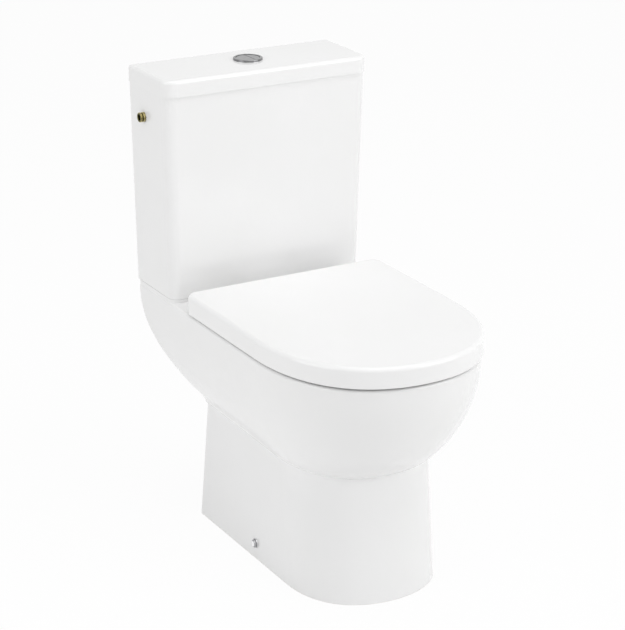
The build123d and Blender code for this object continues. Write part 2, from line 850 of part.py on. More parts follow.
# Push button in the cistern lid
sleeve_length = button_height - button_proud + button_travel + spring_room + guide_plug
sleeve_end_z = lid_top_z - sleeve_length
with BuildPart() as button_ring:
    with BuildSketch(Plane.XY.offset(lid_top_z)):
        with Locations((0, flush_y)):
            Circle(button_ring_radius)
    extrude(amount=button_ring_height)
    fillet(button_ring.faces().sort_by(Axis.Z)[-1].outer_wire().edges(), button_ring_edge)
    with BuildSketch(Plane.XY.offset(lid_top_z)):
        with Locations((0, flush_y)):
            Circle(sleeve_radius)
    extrude(amount=-sleeve_length)
    with BuildSketch(Plane.XY.offset(sleeve_end_z)):
        with Locations((0, flush_y)):
            Circle(sleeve_bore_radius)
    extrude(amount=sleeve_length + button_ring_height, mode=Mode.SUBTRACT)
keep(button_ring, "button_ring")
with BuildPart() as button_nut:
    with BuildSketch(Plane.XY.offset(lid_under_z)):
        with Locations((0, flush_y)):
            RegularPolygon(sleeve_nut_radius, 8)
            Circle(sleeve_radius + sleeve_clearance, mode=Mode.SUBTRACT)
    extrude(amount=-sleeve_nut_height)
keep(button_nut, "button_nut")
rod_spots = ((full_rod_x, flush_y + full_rod_y), (half_rod_x, flush_y + half_rod_y))
with BuildPart() as button_guide:
    with BuildSketch(Plane.XY.offset(sleeve_end_z - guide_flange)):
        with Locations((0, flush_y)):
            Circle(sleeve_radius)
    extrude(amount=guide_flange)
    with BuildSketch(Plane.XY.offset(sleeve_end_z)):
        with Locations((0, flush_y)):
            Circle(sleeve_bore_radius - sleeve_clearance)
    extrude(amount=guide_plug)
    with BuildSketch(Plane.XY.offset(sleeve_end_z - guide_flange)):
        with Locations(*rod_spots):
            Circle(rod_radius + rod_clearance)
    extrude(amount=guide_flange + guide_plug, mode=Mode.SUBTRACT)
keep(button_guide, "button_guide")
button_base_z = lid_top_z + button_proud - button_height
button_radius = sleeve_bore_radius - button_clearance


def add_button(left_x, right_x):
    """Slice of the round button between two values of X, added to the open builder."""
    with BuildSketch(Plane.XY.offset(button_base_z)) as face:
        with Locations((0, flush_y)):
            Circle(button_radius)
        with Locations(((left_x + right_x) / 2, flush_y)):
            Rectangle(right_x - left_x, 2 * button_radius, mode=Mode.INTERSECT)
    extrude(face.sketch, amount=button_height)


with BuildPart() as full_flush_button:
    add_button(-button_radius, button_split_x - button_split_gap / 2)
    fillet(full_flush_button.faces().sort_by(Axis.Z)[-1].outer_wire().edges(), button_edge)
keep(full_flush_button, "full_flush_button")
with BuildPart() as half_flush_button:
    add_button(button_split_x + button_split_gap / 2, button_radius)
    fillet(half_flush_button.faces().sort_by(Axis.Z)[-1].outer_wire().edges(), button_edge)
keep(half_flush_button, "half_flush_button")
rocker_top_z = rocker_pivot_z + rocker_height / 2
latch_head_z = cage_top_z + button_travel + latch_room + latch_head_height
with BuildPart() as full_flush_rod:
    with BuildSketch(Plane.XY.offset(rocker_top_z + rocker_rod_gap)):
        with Locations(rod_spots[0]):
            Circle(rod_radius)
    extrude(amount=button_base_z - rocker_top_z - rocker_rod_gap)
keep(full_flush_rod, "full_flush_rod")
with BuildPart() as half_flush_rod:
    with BuildSketch(Plane.XY.offset(latch_head_z + latch_rod_gap)):
        with Locations(rod_spots[1]):
            Circle(rod_radius)
    extrude(amount=button_base_z - latch_head_z - latch_rod_gap)
keep(half_flush_rod, "half_flush_rod")

# Flush valve: fixed body first
flange_z = tank_floor_z + valve_washer_height
seat_face_z = flange_z + valve_flange_height + valve_seat_height
with BuildPart() as flush_valve_body:
    with BuildSketch(Plane.XY.offset(flange_z)):
        with Locations((0, flush_y)):
            Circle(valve_flange_radius)
    extrude(amount=valve_flange_height)
    with BuildSketch(Plane.XY.offset(flange_z + valve_flange_height)):
        with Locations((0, flush_y)):
            Circle(valve_seat_radius)
    extrude(amount=valve_seat_height)
    with BuildSketch(Plane.XY.offset(tank_z - tail_drop)):
        with Locations((0, flush_y)):
            Circle(tail_radius)
    extrude(amount=flange_z - tank_z + tail_drop)
    with BuildSketch(Plane.XY.offset(tank_z - tail_drop)):
        with Locations((0, flush_y)):
            Circle(tail_bore_radius)
    extrude(amount=seat_face_z - tank_z + tail_drop, mode=Mode.SUBTRACT)
keep(flush_valve_body, "flush_valve_body")
leg_z = flange_z + valve_flange_height
slot_half = hook_slot_clearance + hook_width / 2
with BuildPart() as flush_valve_cage:
    with BuildSketch(Plane.XY.offset(leg_z)):
        with Locations((0, flush_y)):
            with PolarLocations(cage_radius - cage_leg_depth / 2, 4, start_angle=45):
                Rectangle(cage_leg_depth, cage_leg_width)
    extrude(amount=cage_top_z - leg_z)
    with BuildSketch(Plane.XY.offset(cage_top_z - cage_plate)):
        with Locations((0, flush_y)):
            Circle(cage_radius)
        with Locations((hook_x + hook_width / 2, flush_y + full_rod_y)):
            Rectangle(2 * slot_half, hook_depth + 2 * hook_slot_clearance, mode=Mode.SUBTRACT)
        with Locations((latch_x, flush_y + latch_y)):
            Circle(latch_radius + rod_clearance, mode=Mode.SUBTRACT)
    extrude(amount=cage_plate)
    for side in sides:
        cheek_y = flush_y + full_rod_y + side * (rocker_depth / 2 + cheek_gap + cheek_depth / 2)
        with BuildSketch(Plane.XY.offset(cage_top_z - cage_plate)):
            with Locations((rocker_pivot_x, cheek_y)):
                Rectangle(cheek_width, cheek_depth)
        extrude(amount=rocker_top_z + cage_plate - cage_top_z)
    with BuildSketch(Plane.XZ.offset(-flush_y - full_rod_y)):
        with Locations((rocker_pivot_x, rocker_pivot_z)):
            Circle(rocker_pin_radius + running_clearance)
    extrude(amount=cage_radius, both=True, mode=Mode.SUBTRACT)
keep(flush_valve_cage, "flush_valve_cage")
with BuildPart() as flush_valve_washer:
    with BuildSketch(Plane.XY.offset(tank_floor_z)):
        with Locations((0, flush_y)):
            Circle(valve_flange_radius)
            Circle(tail_radius + tail_clearance, mode=Mode.SUBTRACT)
    extrude(amount=valve_washer_height)
keep(flush_valve_washer, "flush_valve_washer")
with BuildPart() as flush_valve_nut:
    with BuildSketch(Plane.XY.offset(tank_z)):
        with Locations((0, flush_y)):
            RegularPolygon(back_nut_radius, 8)
            Circle(tail_radius + tail_clearance, mode=Mode.SUBTRACT)
    extrude(amount=-back_nut_height)
keep(flush_valve_nut, "flush_valve_nut")
with BuildPart() as coupling_doughnut:
    with BuildSketch(Plane.XY.offset(well_z)):
        with Locations((0, flush_y)):
            Circle(doughnut_radius)
            Circle(tail_radius + tail_clearance, mode=Mode.SUBTRACT)
    extrude(amount=tank_z - back_nut_height - well_z)
keep(coupling_doughnut, "coupling_doughnut")

# Flush valve: moving pieces
seal_top_z = seat_face_z + seal_height
hook_under_z = rocker_top_z + rocker_hook_gap
hook_y = flush_y + full_rod_y
with BuildPart() as overflow_tube:
    with BuildSketch(Plane.XY.offset(seal_top_z)):
        with Locations((0, flush_y)):
            Circle(tube_foot_radius)
    extrude(amount=tube_foot_height)
    with BuildSketch(Plane.XY.offset(seal_top_z)):
        with Locations((0, flush_y)):
            Circle(tube_radius)
    extrude(amount=tube_top_z - seal_top_z)
    with BuildSketch(Plane.XY.offset(tube_top_z - hook_depth)):
        with Locations(((hook_x + hook_width) / 2, hook_y)):
            Rectangle(hook_x + hook_width, hook_depth)
    extrude(amount=hook_depth)
    with BuildSketch(Plane.XY.offset(tube_top_z - hook_depth)):
        with Locations((hook_x + hook_width / 2, hook_y)):
            Rectangle(hook_width, hook_depth)
    extrude(amount=hook_under_z + hook_foot_height - tube_top_z + hook_depth)
    with BuildSketch(Plane.XY.offset(hook_under_z)):
        with Locations((hook_x - hook_foot / 2, hook_y)):
            Rectangle(hook_foot, hook_depth)
    extrude(amount=hook_foot_height)
    with BuildSketch(Plane.XY.offset(seal_top_z)):
        with Locations((0, flush_y)):
            Circle(tube_bore_radius)
    extrude(amount=tube_top_z - seal_top_z, mode=Mode.SUBTRACT)
keep(overflow_tube, "overflow_tube")
with BuildPart() as flush_seal:
    with BuildSketch(Plane.XY.offset(seat_face_z)):
        with Locations((0, flush_y)):
            Circle(seal_radius)
            Circle(tube_bore_radius, mode=Mode.SUBTRACT)
    extrude(amount=seal_height)
keep(flush_seal, "flush_seal")
with BuildPart() as flush_rocker:
    with BuildSketch(Plane.XZ.offset(-hook_y)):
        with Locations((rocker_pivot_x + (rocker_right - rocker_left) / 2, rocker_pivot_z)):
            Rectangle(rocker_left + rocker_right, rocker_height)
        with Locations((rocker_pivot_x, rocker_pivot_z)):
            Circle(rocker_pin_radius + running_clearance, mode=Mode.SUBTRACT)
    extrude(amount=rocker_depth / 2, both=True)
keep(flush_rocker, "flush_rocker")
with BuildPart() as rocker_pin:
    with BuildSketch(Plane.XZ.offset(-hook_y)):
        with Locations((rocker_pivot_x, rocker_pivot_z)):
            Circle(rocker_pin_radius)
    extrude(amount=rocker_depth / 2 + cheek_gap + cheek_depth, both=True)
keep(rocker_pin, "rocker_pin")
with BuildPart() as half_flush_latch:
    with BuildSketch(Plane.XY.offset(latch_head_z - latch_head_height)):
        with Locations(((half_rod_x + latch_x) / 2, flush_y + (half_rod_y + latch_y) / 2)):
            Rectangle(latch_x - half_rod_x + 4 * latch_radius, latch_y - half_rod_y + 4 * latch_radius)
    extrude(amount=latch_head_height)
    with BuildSketch(Plane.XY.offset(latch_head_z - latch_head_height)):
        with Locations((latch_x, flush_y + latch_y)):
            Circle(latch_radius)
    extrude(amount=-latch_drop)
keep(half_flush_latch, "half_flush_latch")

# Bolts, washers and pads that couple the cistern to the pan
coupling_spots = ((-coupling_x, flush_y), (coupling_x, flush_y))
bolt_head_z = tank_floor_z + washer_height
with BuildPart() as coupling_bolts:
    with BuildSketch(Plane.XY.offset(bolt_head_z)):
        with Locations(*coupling_spots):
            RegularPolygon(coupling_head_radius, 6)
    extrude(amount=coupling_head_height)
    with BuildSketch(Plane.XY.offset(bolt_head_z)):
        with Locations(*coupling_spots):
            Circle(coupling_radius)
    extrude(amount=-coupling_length)
keep(coupling_bolts, "coupling_bolts")
with BuildPart() as coupling_seals:
    with BuildSketch(Plane.XY.offset(tank_floor_z)):
        with Locations(*coupling_spots):
            Circle(coupling_washer_radius)
            Circle(coupling_radius + stud_clearance, mode=Mode.SUBTRACT)
    extrude(amount=washer_height)
keep(coupling_seals, "coupling_seals")
with BuildPart() as coupling_washers:
    with BuildSketch(Plane.XY.offset(shelf_z)):
        with Locations(*coupling_spots):
            Circle(coupling_washer_radius)
            Circle(coupling_radius + stud_clearance, mode=Mode.SUBTRACT)
    extrude(amount=-washer_height)
keep(coupling_washers, "coupling_washers")
with BuildPart() as coupling_wing_nuts:
    add_wing_nuts(coupling_spots, coupling_radius + stud_clearance)
keep(coupling_wing_nuts, "coupling_wing_nuts")
with BuildPart() as shelf_pads:
    with BuildSketch(Plane.XY.offset(plinth_z - pad_pocket)):
        with Locations((-pad_x, flush_y), (pad_x, flush_y)):
            Rectangle(pad_width, pad_length)
    extrude(amount=pad_pocket + tank_gap)
keep(shelf_pads, "shelf_pads")

# Water inlet through the left side of the cistern
collar_shares = [(inlet_z + edge * inlet_radius - tank_z) / (tank_top_z - tank_z) for edge in sides]
collar_walls = [blend(tank_base_half_width, tank_top_half_width, share) for share in collar_shares]
tank_inner_height = tank_top_z - tank_floor_z
washer_shares = [
    (inlet_z + edge * inlet_washer_radius - tank_floor_z) / tank_inner_height for edge in sides
]
washer_walls = [blend(tank_base_half_width, tank_top_half_width, share) for share in washer_shares]
collar_x = -max(collar_walls) - collar_gap
washer_x = tank_wall + collar_gap - min(washer_walls)
nut_x = washer_x + inlet_washer_height
body_x = nut_x + inlet_nut_height
shank_end_x = collar_x + shank_length
with BuildPart() as inlet_tail:
    with BuildSketch(Plane.YZ.offset(collar_x - inlet_proud)):
        with Locations((inlet_y, inlet_z)):
            Circle(inlet_radius)
    extrude(amount=inlet_proud)
    with BuildSketch(Plane.YZ.offset(collar_x - (inlet_proud + inlet_groove) / 2)):
        with Locations((inlet_y, inlet_z)):
            Circle(inlet_radius)
            Circle(inlet_radius - inlet_groove_depth, mode=Mode.SUBTRACT)
    extrude(amount=inlet_groove, mode=Mode.SUBTRACT)
    with BuildSketch(Plane.YZ.offset(collar_x)):
        with Locations((inlet_y, inlet_z)):
            Circle(shank_radius)
    extrude(amount=shank_length)
    with BuildSketch(Plane.YZ.offset(collar_x - inlet_proud)):
        with Locations((inlet_y, inlet_z)):
            Circle(inlet_bore_radius)
    extrude(amount=inlet_proud + shank_length, mode=Mode.SUBTRACT)
keep(inlet_tail, "inlet_tail")
with BuildPart() as inlet_washer:
    with BuildSketch(Plane.YZ.offset(washer_x)):
        with Locations((inlet_y, inlet_z)):
            Circle(inlet_washer_radius)
            Circle(shank_radius + stud_clearance, mode=Mode.SUBTRACT)
    extrude(amount=inlet_washer_height)
keep(inlet_washer, "inlet_washer")
with BuildPart() as inlet_nut:
    with BuildSketch(Plane.YZ.offset(nut_x)):
        with Locations((inlet_y, inlet_z)):
            RegularPolygon(inlet_nut_radius, 6)
            Circle(shank_radius + stud_clearance, mode=Mode.SUBTRACT)
    extrude(amount=inlet_nut_height)
keep(inlet_nut, "inlet_nut")

# Fill valve on the inlet, with a float on a short arm
spout_x = body_x + spout_offset
spout_z = inlet_z - spout_drop
cap_x = body_x + fill_body_length
with BuildPart() as fill_valve_body:
    with BuildSketch(Plane.YZ.offset(body_x)):
        with Locations((inlet_y, inlet_z)):
            Circle(fill_body_radius)
    extrude(amount=fill_body_length)
    with BuildSketch(Plane.XY.offset(spout_z)):
        with Locations((spout_x, inlet_y)):
            Circle(spout_radius)
    extrude(amount=spout_drop)
    with BuildSketch(Plane.YZ.offset(body_x)):
        with Locations((inlet_y, inlet_z)):
            Circle(shank_radius + stud_clearance)
    extrude(amount=shank_end_x - body_x + fill_socket, mode=Mode.SUBTRACT)
    with BuildSketch(Plane.XY.offset(spout_z)):
        with Locations((spout_x, inlet_y)):
            Circle(discharge_bore_radius)
    extrude(amount=spout_drop, mode=Mode.SUBTRACT)
keep(fill_valve_body, "fill_valve_body")
pivot_x = cap_x + fill_cap_height / 2
pivot_z = inlet_z + arm_pivot_rise
with BuildPart() as fill_valve_cap:
    with BuildSketch(Plane.YZ.offset(cap_x)):
        with Locations((inlet_y, inlet_z)):
            Circle(fill_cap_radius)
    extrude(amount=fill_cap_height)
    for side in sides:
        cheek_y = inlet_y + side * (arm_width / 2 + arm_cheek_gap + arm_cheek / 2)
        with BuildSketch(Plane.XY.offset(inlet_z)):
            with Locations((pivot_x, cheek_y)):
                Rectangle(fill_cap_height, arm_cheek)
        extrude(amount=arm_pivot_rise + arm_eye_radius)
    with BuildSketch(Plane.XZ.offset(-inlet_y)):
        with Locations((pivot_x, pivot_z)):
            Circle(arm_pin_radius + running_clearance)
    extrude(amount=arm_width / 2 + arm_cheek_gap + arm_cheek, both=True, mode=Mode.SUBTRACT)
keep(fill_valve_cap, "fill_valve_cap")
with BuildPart() as discharge_tube:
    with BuildSketch(Plane.XY.offset(spout_z)):
        with Locations((spout_x, inlet_y)):
            Circle(discharge_radius)
            Circle(discharge_bore_radius, mode=Mode.SUBTRACT)
    extrude(amount=-discharge_length)
keep(discharge_tube, "discharge_tube")
float_x = pivot_x + float_offset
float_y = inlet_y - float_shift
float_top_z = pivot_z - arm_thickness / 2
with BuildPart() as float_arm:
    with BuildSketch(Plane.XZ.offset(-inlet_y)):
        with Locations((pivot_x, pivot_z)):
            Circle(arm_eye_radius)
        with Locations((pivot_x + (float_offset + float_radius) / 2, pivot_z)):
            Rectangle(float_offset + float_radius, arm_thickness)
        with Locations((pivot_x, pivot_z)):
            Circle(arm_pin_radius + running_clearance, mode=Mode.SUBTRACT)
    extrude(amount=arm_width / 2, both=True)
keep(float_arm, "float_arm")
with BuildPart() as float_cup:
    with BuildSketch(Plane.XY.offset(float_top_z)):
        with Locations((float_x, float_y)):
            Circle(float_radius)
    extrude(amount=-float_height)
    with BuildSketch(Plane.XY.offset(float_top_z - float_height)):
        with Locations((float_x, float_y)):
            Circle(float_radius - float_wall)
    extrude(amount=float_height - float_wall, mode=Mode.SUBTRACT)
keep(float_cup, "float_cup")
with BuildPart() as float_arm_pin:
    with BuildSketch(Plane.XZ.offset(-inlet_y)):
        with Locations((pivot_x, pivot_z)):
            Circle(arm_pin_radius)
    extrude(amount=arm_width / 2 + arm_cheek_gap + arm_cheek, both=True)
keep(float_arm_pin, "float_arm_pin")

# Floor brackets inside the foot, with the side screws, their sleeves and the visible caps
with BuildPart() as floor_brackets:
    for side in sides:
        with BuildSketch(Plane.XY):
            with Locations((side * (bracket_leg_x - bracket_foot / 2), fixing_y)):
                Rectangle(bracket_foot, bracket_width)
            with Locations((side * bracket_hole_x, fixing_y)):
                Circle(bracket_hole_radius, mode=Mode.SUBTRACT)
        extrude(amount=bracket_thickness)
        with BuildSketch(Plane.XY):
            with Locations((side * (bracket_leg_x - bracket_thickness / 2), fixing_y)):
                Rectangle(bracket_thickness, bracket_width)
        extrude(amount=bracket_height)
    with BuildSketch(Plane.YZ):
        with Locations((fixing_y, fixing_z)):
            Circle(side_screw_radius + stud_clearance)
    extrude(amount=rim_half_width, both=True, mode=Mode.SUBTRACT)
keep(floor_brackets, "floor_brackets")
ankle_half_width = crease_half_width - ankle_inset
foot_side_x = blend(foot_half_width, ankle_half_width, fixing_z / crease_z)
cap_base_x = foot_side_x + collar_gap
with BuildPart() as screw_sleeves:
    for side in sides:
        with BuildSketch(Plane.YZ.offset(side * bracket_leg_x)):
            with Locations((fixing_y, fixing_z)):
                Circle(sleeve_tube_radius)
                Circle(side_screw_radius + stud_clearance, mode=Mode.SUBTRACT)
        extrude(amount=side * (cap_base_x - bracket_leg_x))
keep(screw_sleeves, "screw_sleeves")
with BuildPart() as side_screws:
    for side in sides:
        with BuildSketch(Plane.YZ.offset(side * cap_base_x)):
            with Locations((fixing_y, fixing_z)):
                Circle(side_screw_head_radius)
        extrude(amount=side * side_screw_head)
        with BuildSketch(Plane.YZ.offset(side * cap_base_x)):
            with Locations((fixing_y, fixing_z)):
                Circle(side_screw_radius)
        extrude(amount=-side * side_screw_length)
keep(side_screws, "side_screws")
with BuildPart() as screw_caps:
    for side in sides:
        with BuildSketch(Plane.YZ.offset(side * cap_base_x)):
            with Locations((fixing_y, fixing_z)):
                Circle(side_cap_radius)
        extrude(amount=side * side_cap_proud)
    fillet(screw_caps.faces().sort_by(Axis.X)[0].edges(), side_cap_edge)
    fillet(screw_caps.faces().sort_by(Axis.X)[-1].edges(), side_cap_edge)
    for side in sides:
        with BuildSketch(Plane.YZ.offset(side * cap_base_x)):
            with Locations((fixing_y, fixing_z)):
                Circle(side_cap_radius - side_cap_wall)
        extrude(amount=side * (side_cap_proud - side_cap_wall), mode=Mode.SUBTRACT)
keep(screw_caps, "screw_caps")
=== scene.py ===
"""Looks for a white close coupled toilet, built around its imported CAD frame."""

import logging
import math
from dataclasses import dataclass
from enum import Enum
from typing import Any, Mapping, Sequence

import bpy
import numpy as np
from mathutils import Matrix, Vector


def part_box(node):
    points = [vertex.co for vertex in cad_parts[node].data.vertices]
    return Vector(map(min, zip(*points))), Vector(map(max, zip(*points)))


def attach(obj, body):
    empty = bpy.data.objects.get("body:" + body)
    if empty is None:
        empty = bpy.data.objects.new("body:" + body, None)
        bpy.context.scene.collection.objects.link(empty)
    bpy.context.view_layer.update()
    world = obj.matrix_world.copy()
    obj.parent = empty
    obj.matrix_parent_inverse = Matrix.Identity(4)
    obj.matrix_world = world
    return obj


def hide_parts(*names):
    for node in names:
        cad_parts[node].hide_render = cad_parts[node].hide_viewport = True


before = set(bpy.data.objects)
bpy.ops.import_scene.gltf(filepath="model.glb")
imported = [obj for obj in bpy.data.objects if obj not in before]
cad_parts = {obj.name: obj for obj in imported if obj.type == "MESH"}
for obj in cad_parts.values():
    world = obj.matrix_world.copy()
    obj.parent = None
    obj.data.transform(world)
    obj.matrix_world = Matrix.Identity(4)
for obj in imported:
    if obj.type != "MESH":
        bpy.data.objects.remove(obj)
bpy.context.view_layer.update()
LOG = logging.getLogger("toilet")

Colour = tuple[float, float, float]
Point = tuple[float, float, float]
Stops = tuple[tuple[float, float], ...]

PURE_WHITE: tuple[float, float, float, float] = (1.0, 1.0, 1.0, 1.0)


class Side(Enum):
    """The two mirrored sides of the object, by the sign of X."""

    LEFT = -1
    RIGHT = 1


class Along(Enum):
    """Row axis that a turned piece runs along, as the order of (axis, first, second)."""

    X = (0, 1, 2)
    Z = (2, 0, 1)


@dataclass(frozen=True)
class Grain:
    """A soft noise: features to a metre, octaves of detail, and the weight of each next octave."""

    scale: float
    detail: float = 3.0
    rough: float = 0.5


@dataclass(frozen=True)
class Mottle:
    """Patches of a noise: none where it is below the low value, full above the high one."""

    grain: Grain
    low: float
    high: float


@dataclass(frozen=True)
class Relief:
    """A fine bump: height of a full step in metres, and share of the effect."""

    depth: float
    share: float


@dataclass(frozen=True)
class Span:
    """A number that runs from a base by a gain, such as roughness over a smudge."""

    base: float
    gain: float

    def at(self, share: "Signal") -> "Signal":
        """Base plus the gain times that share."""
        return self.base + self.gain * share


class Signal:
    """A shader socket that takes part in Python arithmetic, one Math node per operator."""

    def __init__(self, book: "NodeBook", socket: bpy.types.NodeSocket | None) -> None:
        """Keep the node book and the socket, or None for a node that has no output."""
        self.book = book
        self.socket = socket

    def _math(self, operation: str, *values: Any) -> "Signal":
        """Math node of that operation on values or signals."""
        return self.book.place("ShaderNodeMath", {"operation": operation}, dict(enumerate(values)))

    def __add__(self, other: Any) -> "Signal":
        """Sum of two values."""
        return self._math("ADD", self, other)

    __radd__ = __add__

    def __sub__(self, other: Any) -> "Signal":
        """Difference of two values."""
        return self._math("SUBTRACT", self, other)

    def __rsub__(self, other: Any) -> "Signal":
        """Difference with this value taken away from a number."""
        return self._math("SUBTRACT", other, self)

    def __mul__(self, other: Any) -> "Signal":
        """Product of two values."""
        return self._math("MULTIPLY", self, other)

    __rmul__ = __mul__

    def __truediv__(self, other: Any) -> "Signal":
        """Quotient of two values."""
        return self._math("DIVIDE", self, other)

    def __rtruediv__(self, other: Any) -> "Signal":
        """Quotient of a number by this value."""
        return self._math("DIVIDE", other, self)

    def __lt__(self, other: Any) -> "Signal":
        """1 where this value is the smaller, else 0."""
        return self._math("LESS_THAN", self, other)

    def larger(self, other: Any) -> "Signal":
        """The larger of two values."""
        return self._math("MAXIMUM", self, other)

    def square_root(self) -> "Signal":
        """Square root of this value."""
        return self._math("SQRT", self)


class NodeBook:
    """Node tree of one material or world, with one method that places any node."""

    # Sockets of a Mix node that is set to colours.
    MIX_SHARE = 0
    MIX_LOW = 6
    MIX_HIGH = 7
    MIX_RESULT = 2

    def __init__(self, tree: bpy.types.NodeTree) -> None:
        """Start from an empty tree."""
        self.tree = tree
        self.tree.nodes.clear()

    def place(
        self,
        kind: str,
        settings: Mapping[str, Any] | None = None,
        inputs: Mapping[str | int, Any] | None = None,
        output: str | int = 0,
    ) -> Signal:
        """Place a node, set it up and link it.

        Args:
            kind: Blender's type name of the node.
            settings: node properties, set first; "stops" holds a ramp's (place, grey) pairs.
            inputs: socket name or index to a Signal, a number, a colour or a vector.
            output: name or index of the output that is returned.

        Returns:
            The chosen output as a Signal.
        """
        node = self.tree.nodes.new(kind)
        for name, value in (settings or {}).items():
            if name == "stops":
                self._set_stops(node, value)
            else:
                setattr(node, name, value)
        for key, value in (inputs or {}).items():
            if isinstance(value, Signal):
                self.tree.links.new(value.socket, node.inputs[key])
            else:
                node.inputs[key].default_value = value
        return Signal(self, node.outputs[output] if node.outputs else None)

    @staticmethod
    def _set_stops(node: bpy.types.Node, stops: Stops) -> None:
        """Give a ramp its stops.

        Args:
            node: the ramp's node.
            stops: place and grey level of each stop, in order.
        """
        elements = node.color_ramp.elements
        while len(elements) < len(stops):
            elements.new(0.5)
        for element, (place, grey) in zip(elements, stops):
            element.position = place
            element.color = (grey, grey, grey, 1.0)

    def coordinates(self) -> Signal:
        """Object coordinates, which are the row frame in metres."""
        return self.place("ShaderNodeTexCoord", output="Object")

    def axis(self, name: str) -> Signal:
        """One of the X, Y and Z object coordinates."""
        return self.place("ShaderNodeSeparateXYZ", None, {0: self.coordinates()}, name)

    def radial(self, spot: tuple[float, float]) -> Signal:
        """Distance in metres from an axis along X.

        Args:
            spot: Y and Z that the axis goes through.

        Returns:
            The square root of the summed squares of the distances on Y and Z.
        """
        across = self.axis("Y") - spot[0]
        up = self.axis("Z") - spot[1]
        return (across * across + up * up).square_root()

    def noise(self, grain: Grain) -> Signal:
        """Soft noise on the object coordinates.

        Args:
            grain: fineness of the noise.

        Returns:
            A value from 0 to 1.
        """
        return self.place("ShaderNodeTexNoise", None, {
            "Vector": self.coordinates(),
            "Scale": grain.scale,
            "Detail": grain.detail,
            "Roughness": grain.rough,
        }, "Fac")

    def uneven(self, grain: Grain, width: float) -> Signal:
        """Soft noise about zero, of that full width."""
        return width * (self.noise(grain) - 0.5)

    def ramp(self, value: Signal, stops: Stops) -> Signal:
        """Value carried through a grey ramp."""
        return self.place("ShaderNodeValToRGB", {"stops": stops}, {"Fac": value})

    def patches(self, mottle: Mottle) -> Signal:
        """Patches of a noise, from 0 to 1."""
        return self.ramp(self.noise(mottle.grain), ((mottle.low, 0.0), (mottle.high, 1.0)))

    def mix_colours(self, share: Signal, low: Colour | Signal, high: Colour | Signal) -> Signal:
        """Colour between two others.

        Args:
            share: 0 for the low colour to 1 for the high one.
            low: first colour.
            high: second colour.

        Returns:
            The mixed colour.
        """
        ends = [c if isinstance(c, Signal) else (*c, 1.0) for c in (low, high)]
        return self.place(
            "ShaderNodeMix",
            {"data_type": "RGBA"},
            {self.MIX_SHARE: share, self.MIX_LOW: ends[0], self.MIX_HIGH: ends[1]},
            self.MIX_RESULT,
        )

    def bump(self, height: Signal, relief: Relief) -> Signal:
        """Normal bent by a height field.

        Args:
            height: field from 0 to 1.
            relief: height of a full step and share of the effect.

        Returns:
            The bent normal.
        """
        return self.place("ShaderNodeBump", None, {
            "Height": height,
            "Distance": relief.depth,
            "Strength": relief.share,
        }, "Normal")

    def surface(self, inputs: Mapping[str, Any]) -> Signal:
        """Principled surface with those sockets set."""
        return self.place("ShaderNodeBsdfPrincipled", None, inputs)


@dataclass(frozen=True)
class Finish:
    """A named finish that makes its material once."""

    name: str

    def material(self) -> bpy.types.Material:
        """Make the material on first use, and find it again after that.

        Returns:
            The finish's material.
        """
        found = bpy.data.materials.get(self.name)
        if found is not None:
            return found
        made = bpy.data.materials.new(self.name)
        made.use_nodes = True
        book = NodeBook(made.node_tree)
        shader = self.paint(book)
        book.place("ShaderNodeOutputMaterial", None, {"Surface": shader})
        return made

    def paint(self, book: NodeBook) -> Signal:
        """Shader of the finish; each finish has its own."""
        raise NotImplementedError


@dataclass(frozen=True)
class VitreousGlaze(Finish):
    """White glaze over fired clay, left bare on the ring that stands on the floor."""

    white: Colour = (0.90, 0.90, 0.90)
    thin: Colour = (0.885, 0.885, 0.882)
    clay: Colour = (0.74, 0.71, 0.66)
    bare_below: float = 0.0004
    bare_rough: float = 0.6
    drift: Mottle = Mottle(Grain(5.0, 2.0), 0.35, 0.65)
    wander: Grain = Grain(14.0, 4.0)
    polish: Span = Span(0.07, 0.05)
    refraction: float = 1.52
    peel: Grain = Grain(130.0, 2.0)
    peel_relief: Relief = Relief(0.00006, 0.35)

    def paint(self, book: NodeBook) -> Signal:
        """Slow drift of the white, fine orange peel, and bare clay under the foot.

        Args:
            book: node book of the material.

        Returns:
            The finish's surface.
        """
        bare = book.axis("Z") < self.bare_below
        glazed = book.mix_colours(book.patches(self.drift), self.white, self.thin)
        return book.surface({
            "Base Color": book.mix_colours(bare, glazed, self.clay),
            "Roughness": self.polish.at(book.noise(self.wander)) + self.bare_rough * bare,
            "IOR": self.refraction,
            "Normal": book.bump(book.noise(self.peel), self.peel_relief),
        })


@dataclass(frozen=True)
class GlossMoulding(Finish):
    """Hard white moulding with a high gloss and a faint pressed grain."""

    white: Colour = (0.91, 0.91, 0.91)
    warm: Colour = (0.90, 0.90, 0.897)
    drift: Mottle = Mottle(Grain(7.0, 2.0), 0.35, 0.65)
    wander: Grain = Grain(22.0, 4.0)
    polish: Span = Span(0.13, 0.07)
    refraction: float = 1.5
    grain: Grain = Grain(260.0, 2.0)
    grain_relief: Relief = Relief(0.00003, 0.3)

    def paint(self, book: NodeBook) -> Signal:
        """Even white, with gloss that wanders a little.

        Args:
            book: node book of the material.

        Returns:
            The finish's surface.
        """
        return book.surface({
            "Base Color": book.mix_colours(book.patches(self.drift), self.white, self.warm),
            "Roughness": self.polish.at(book.noise(self.wander)),
            "IOR": self.refraction,
            "Normal": book.bump(book.noise(self.grain), self.grain_relief),
        })


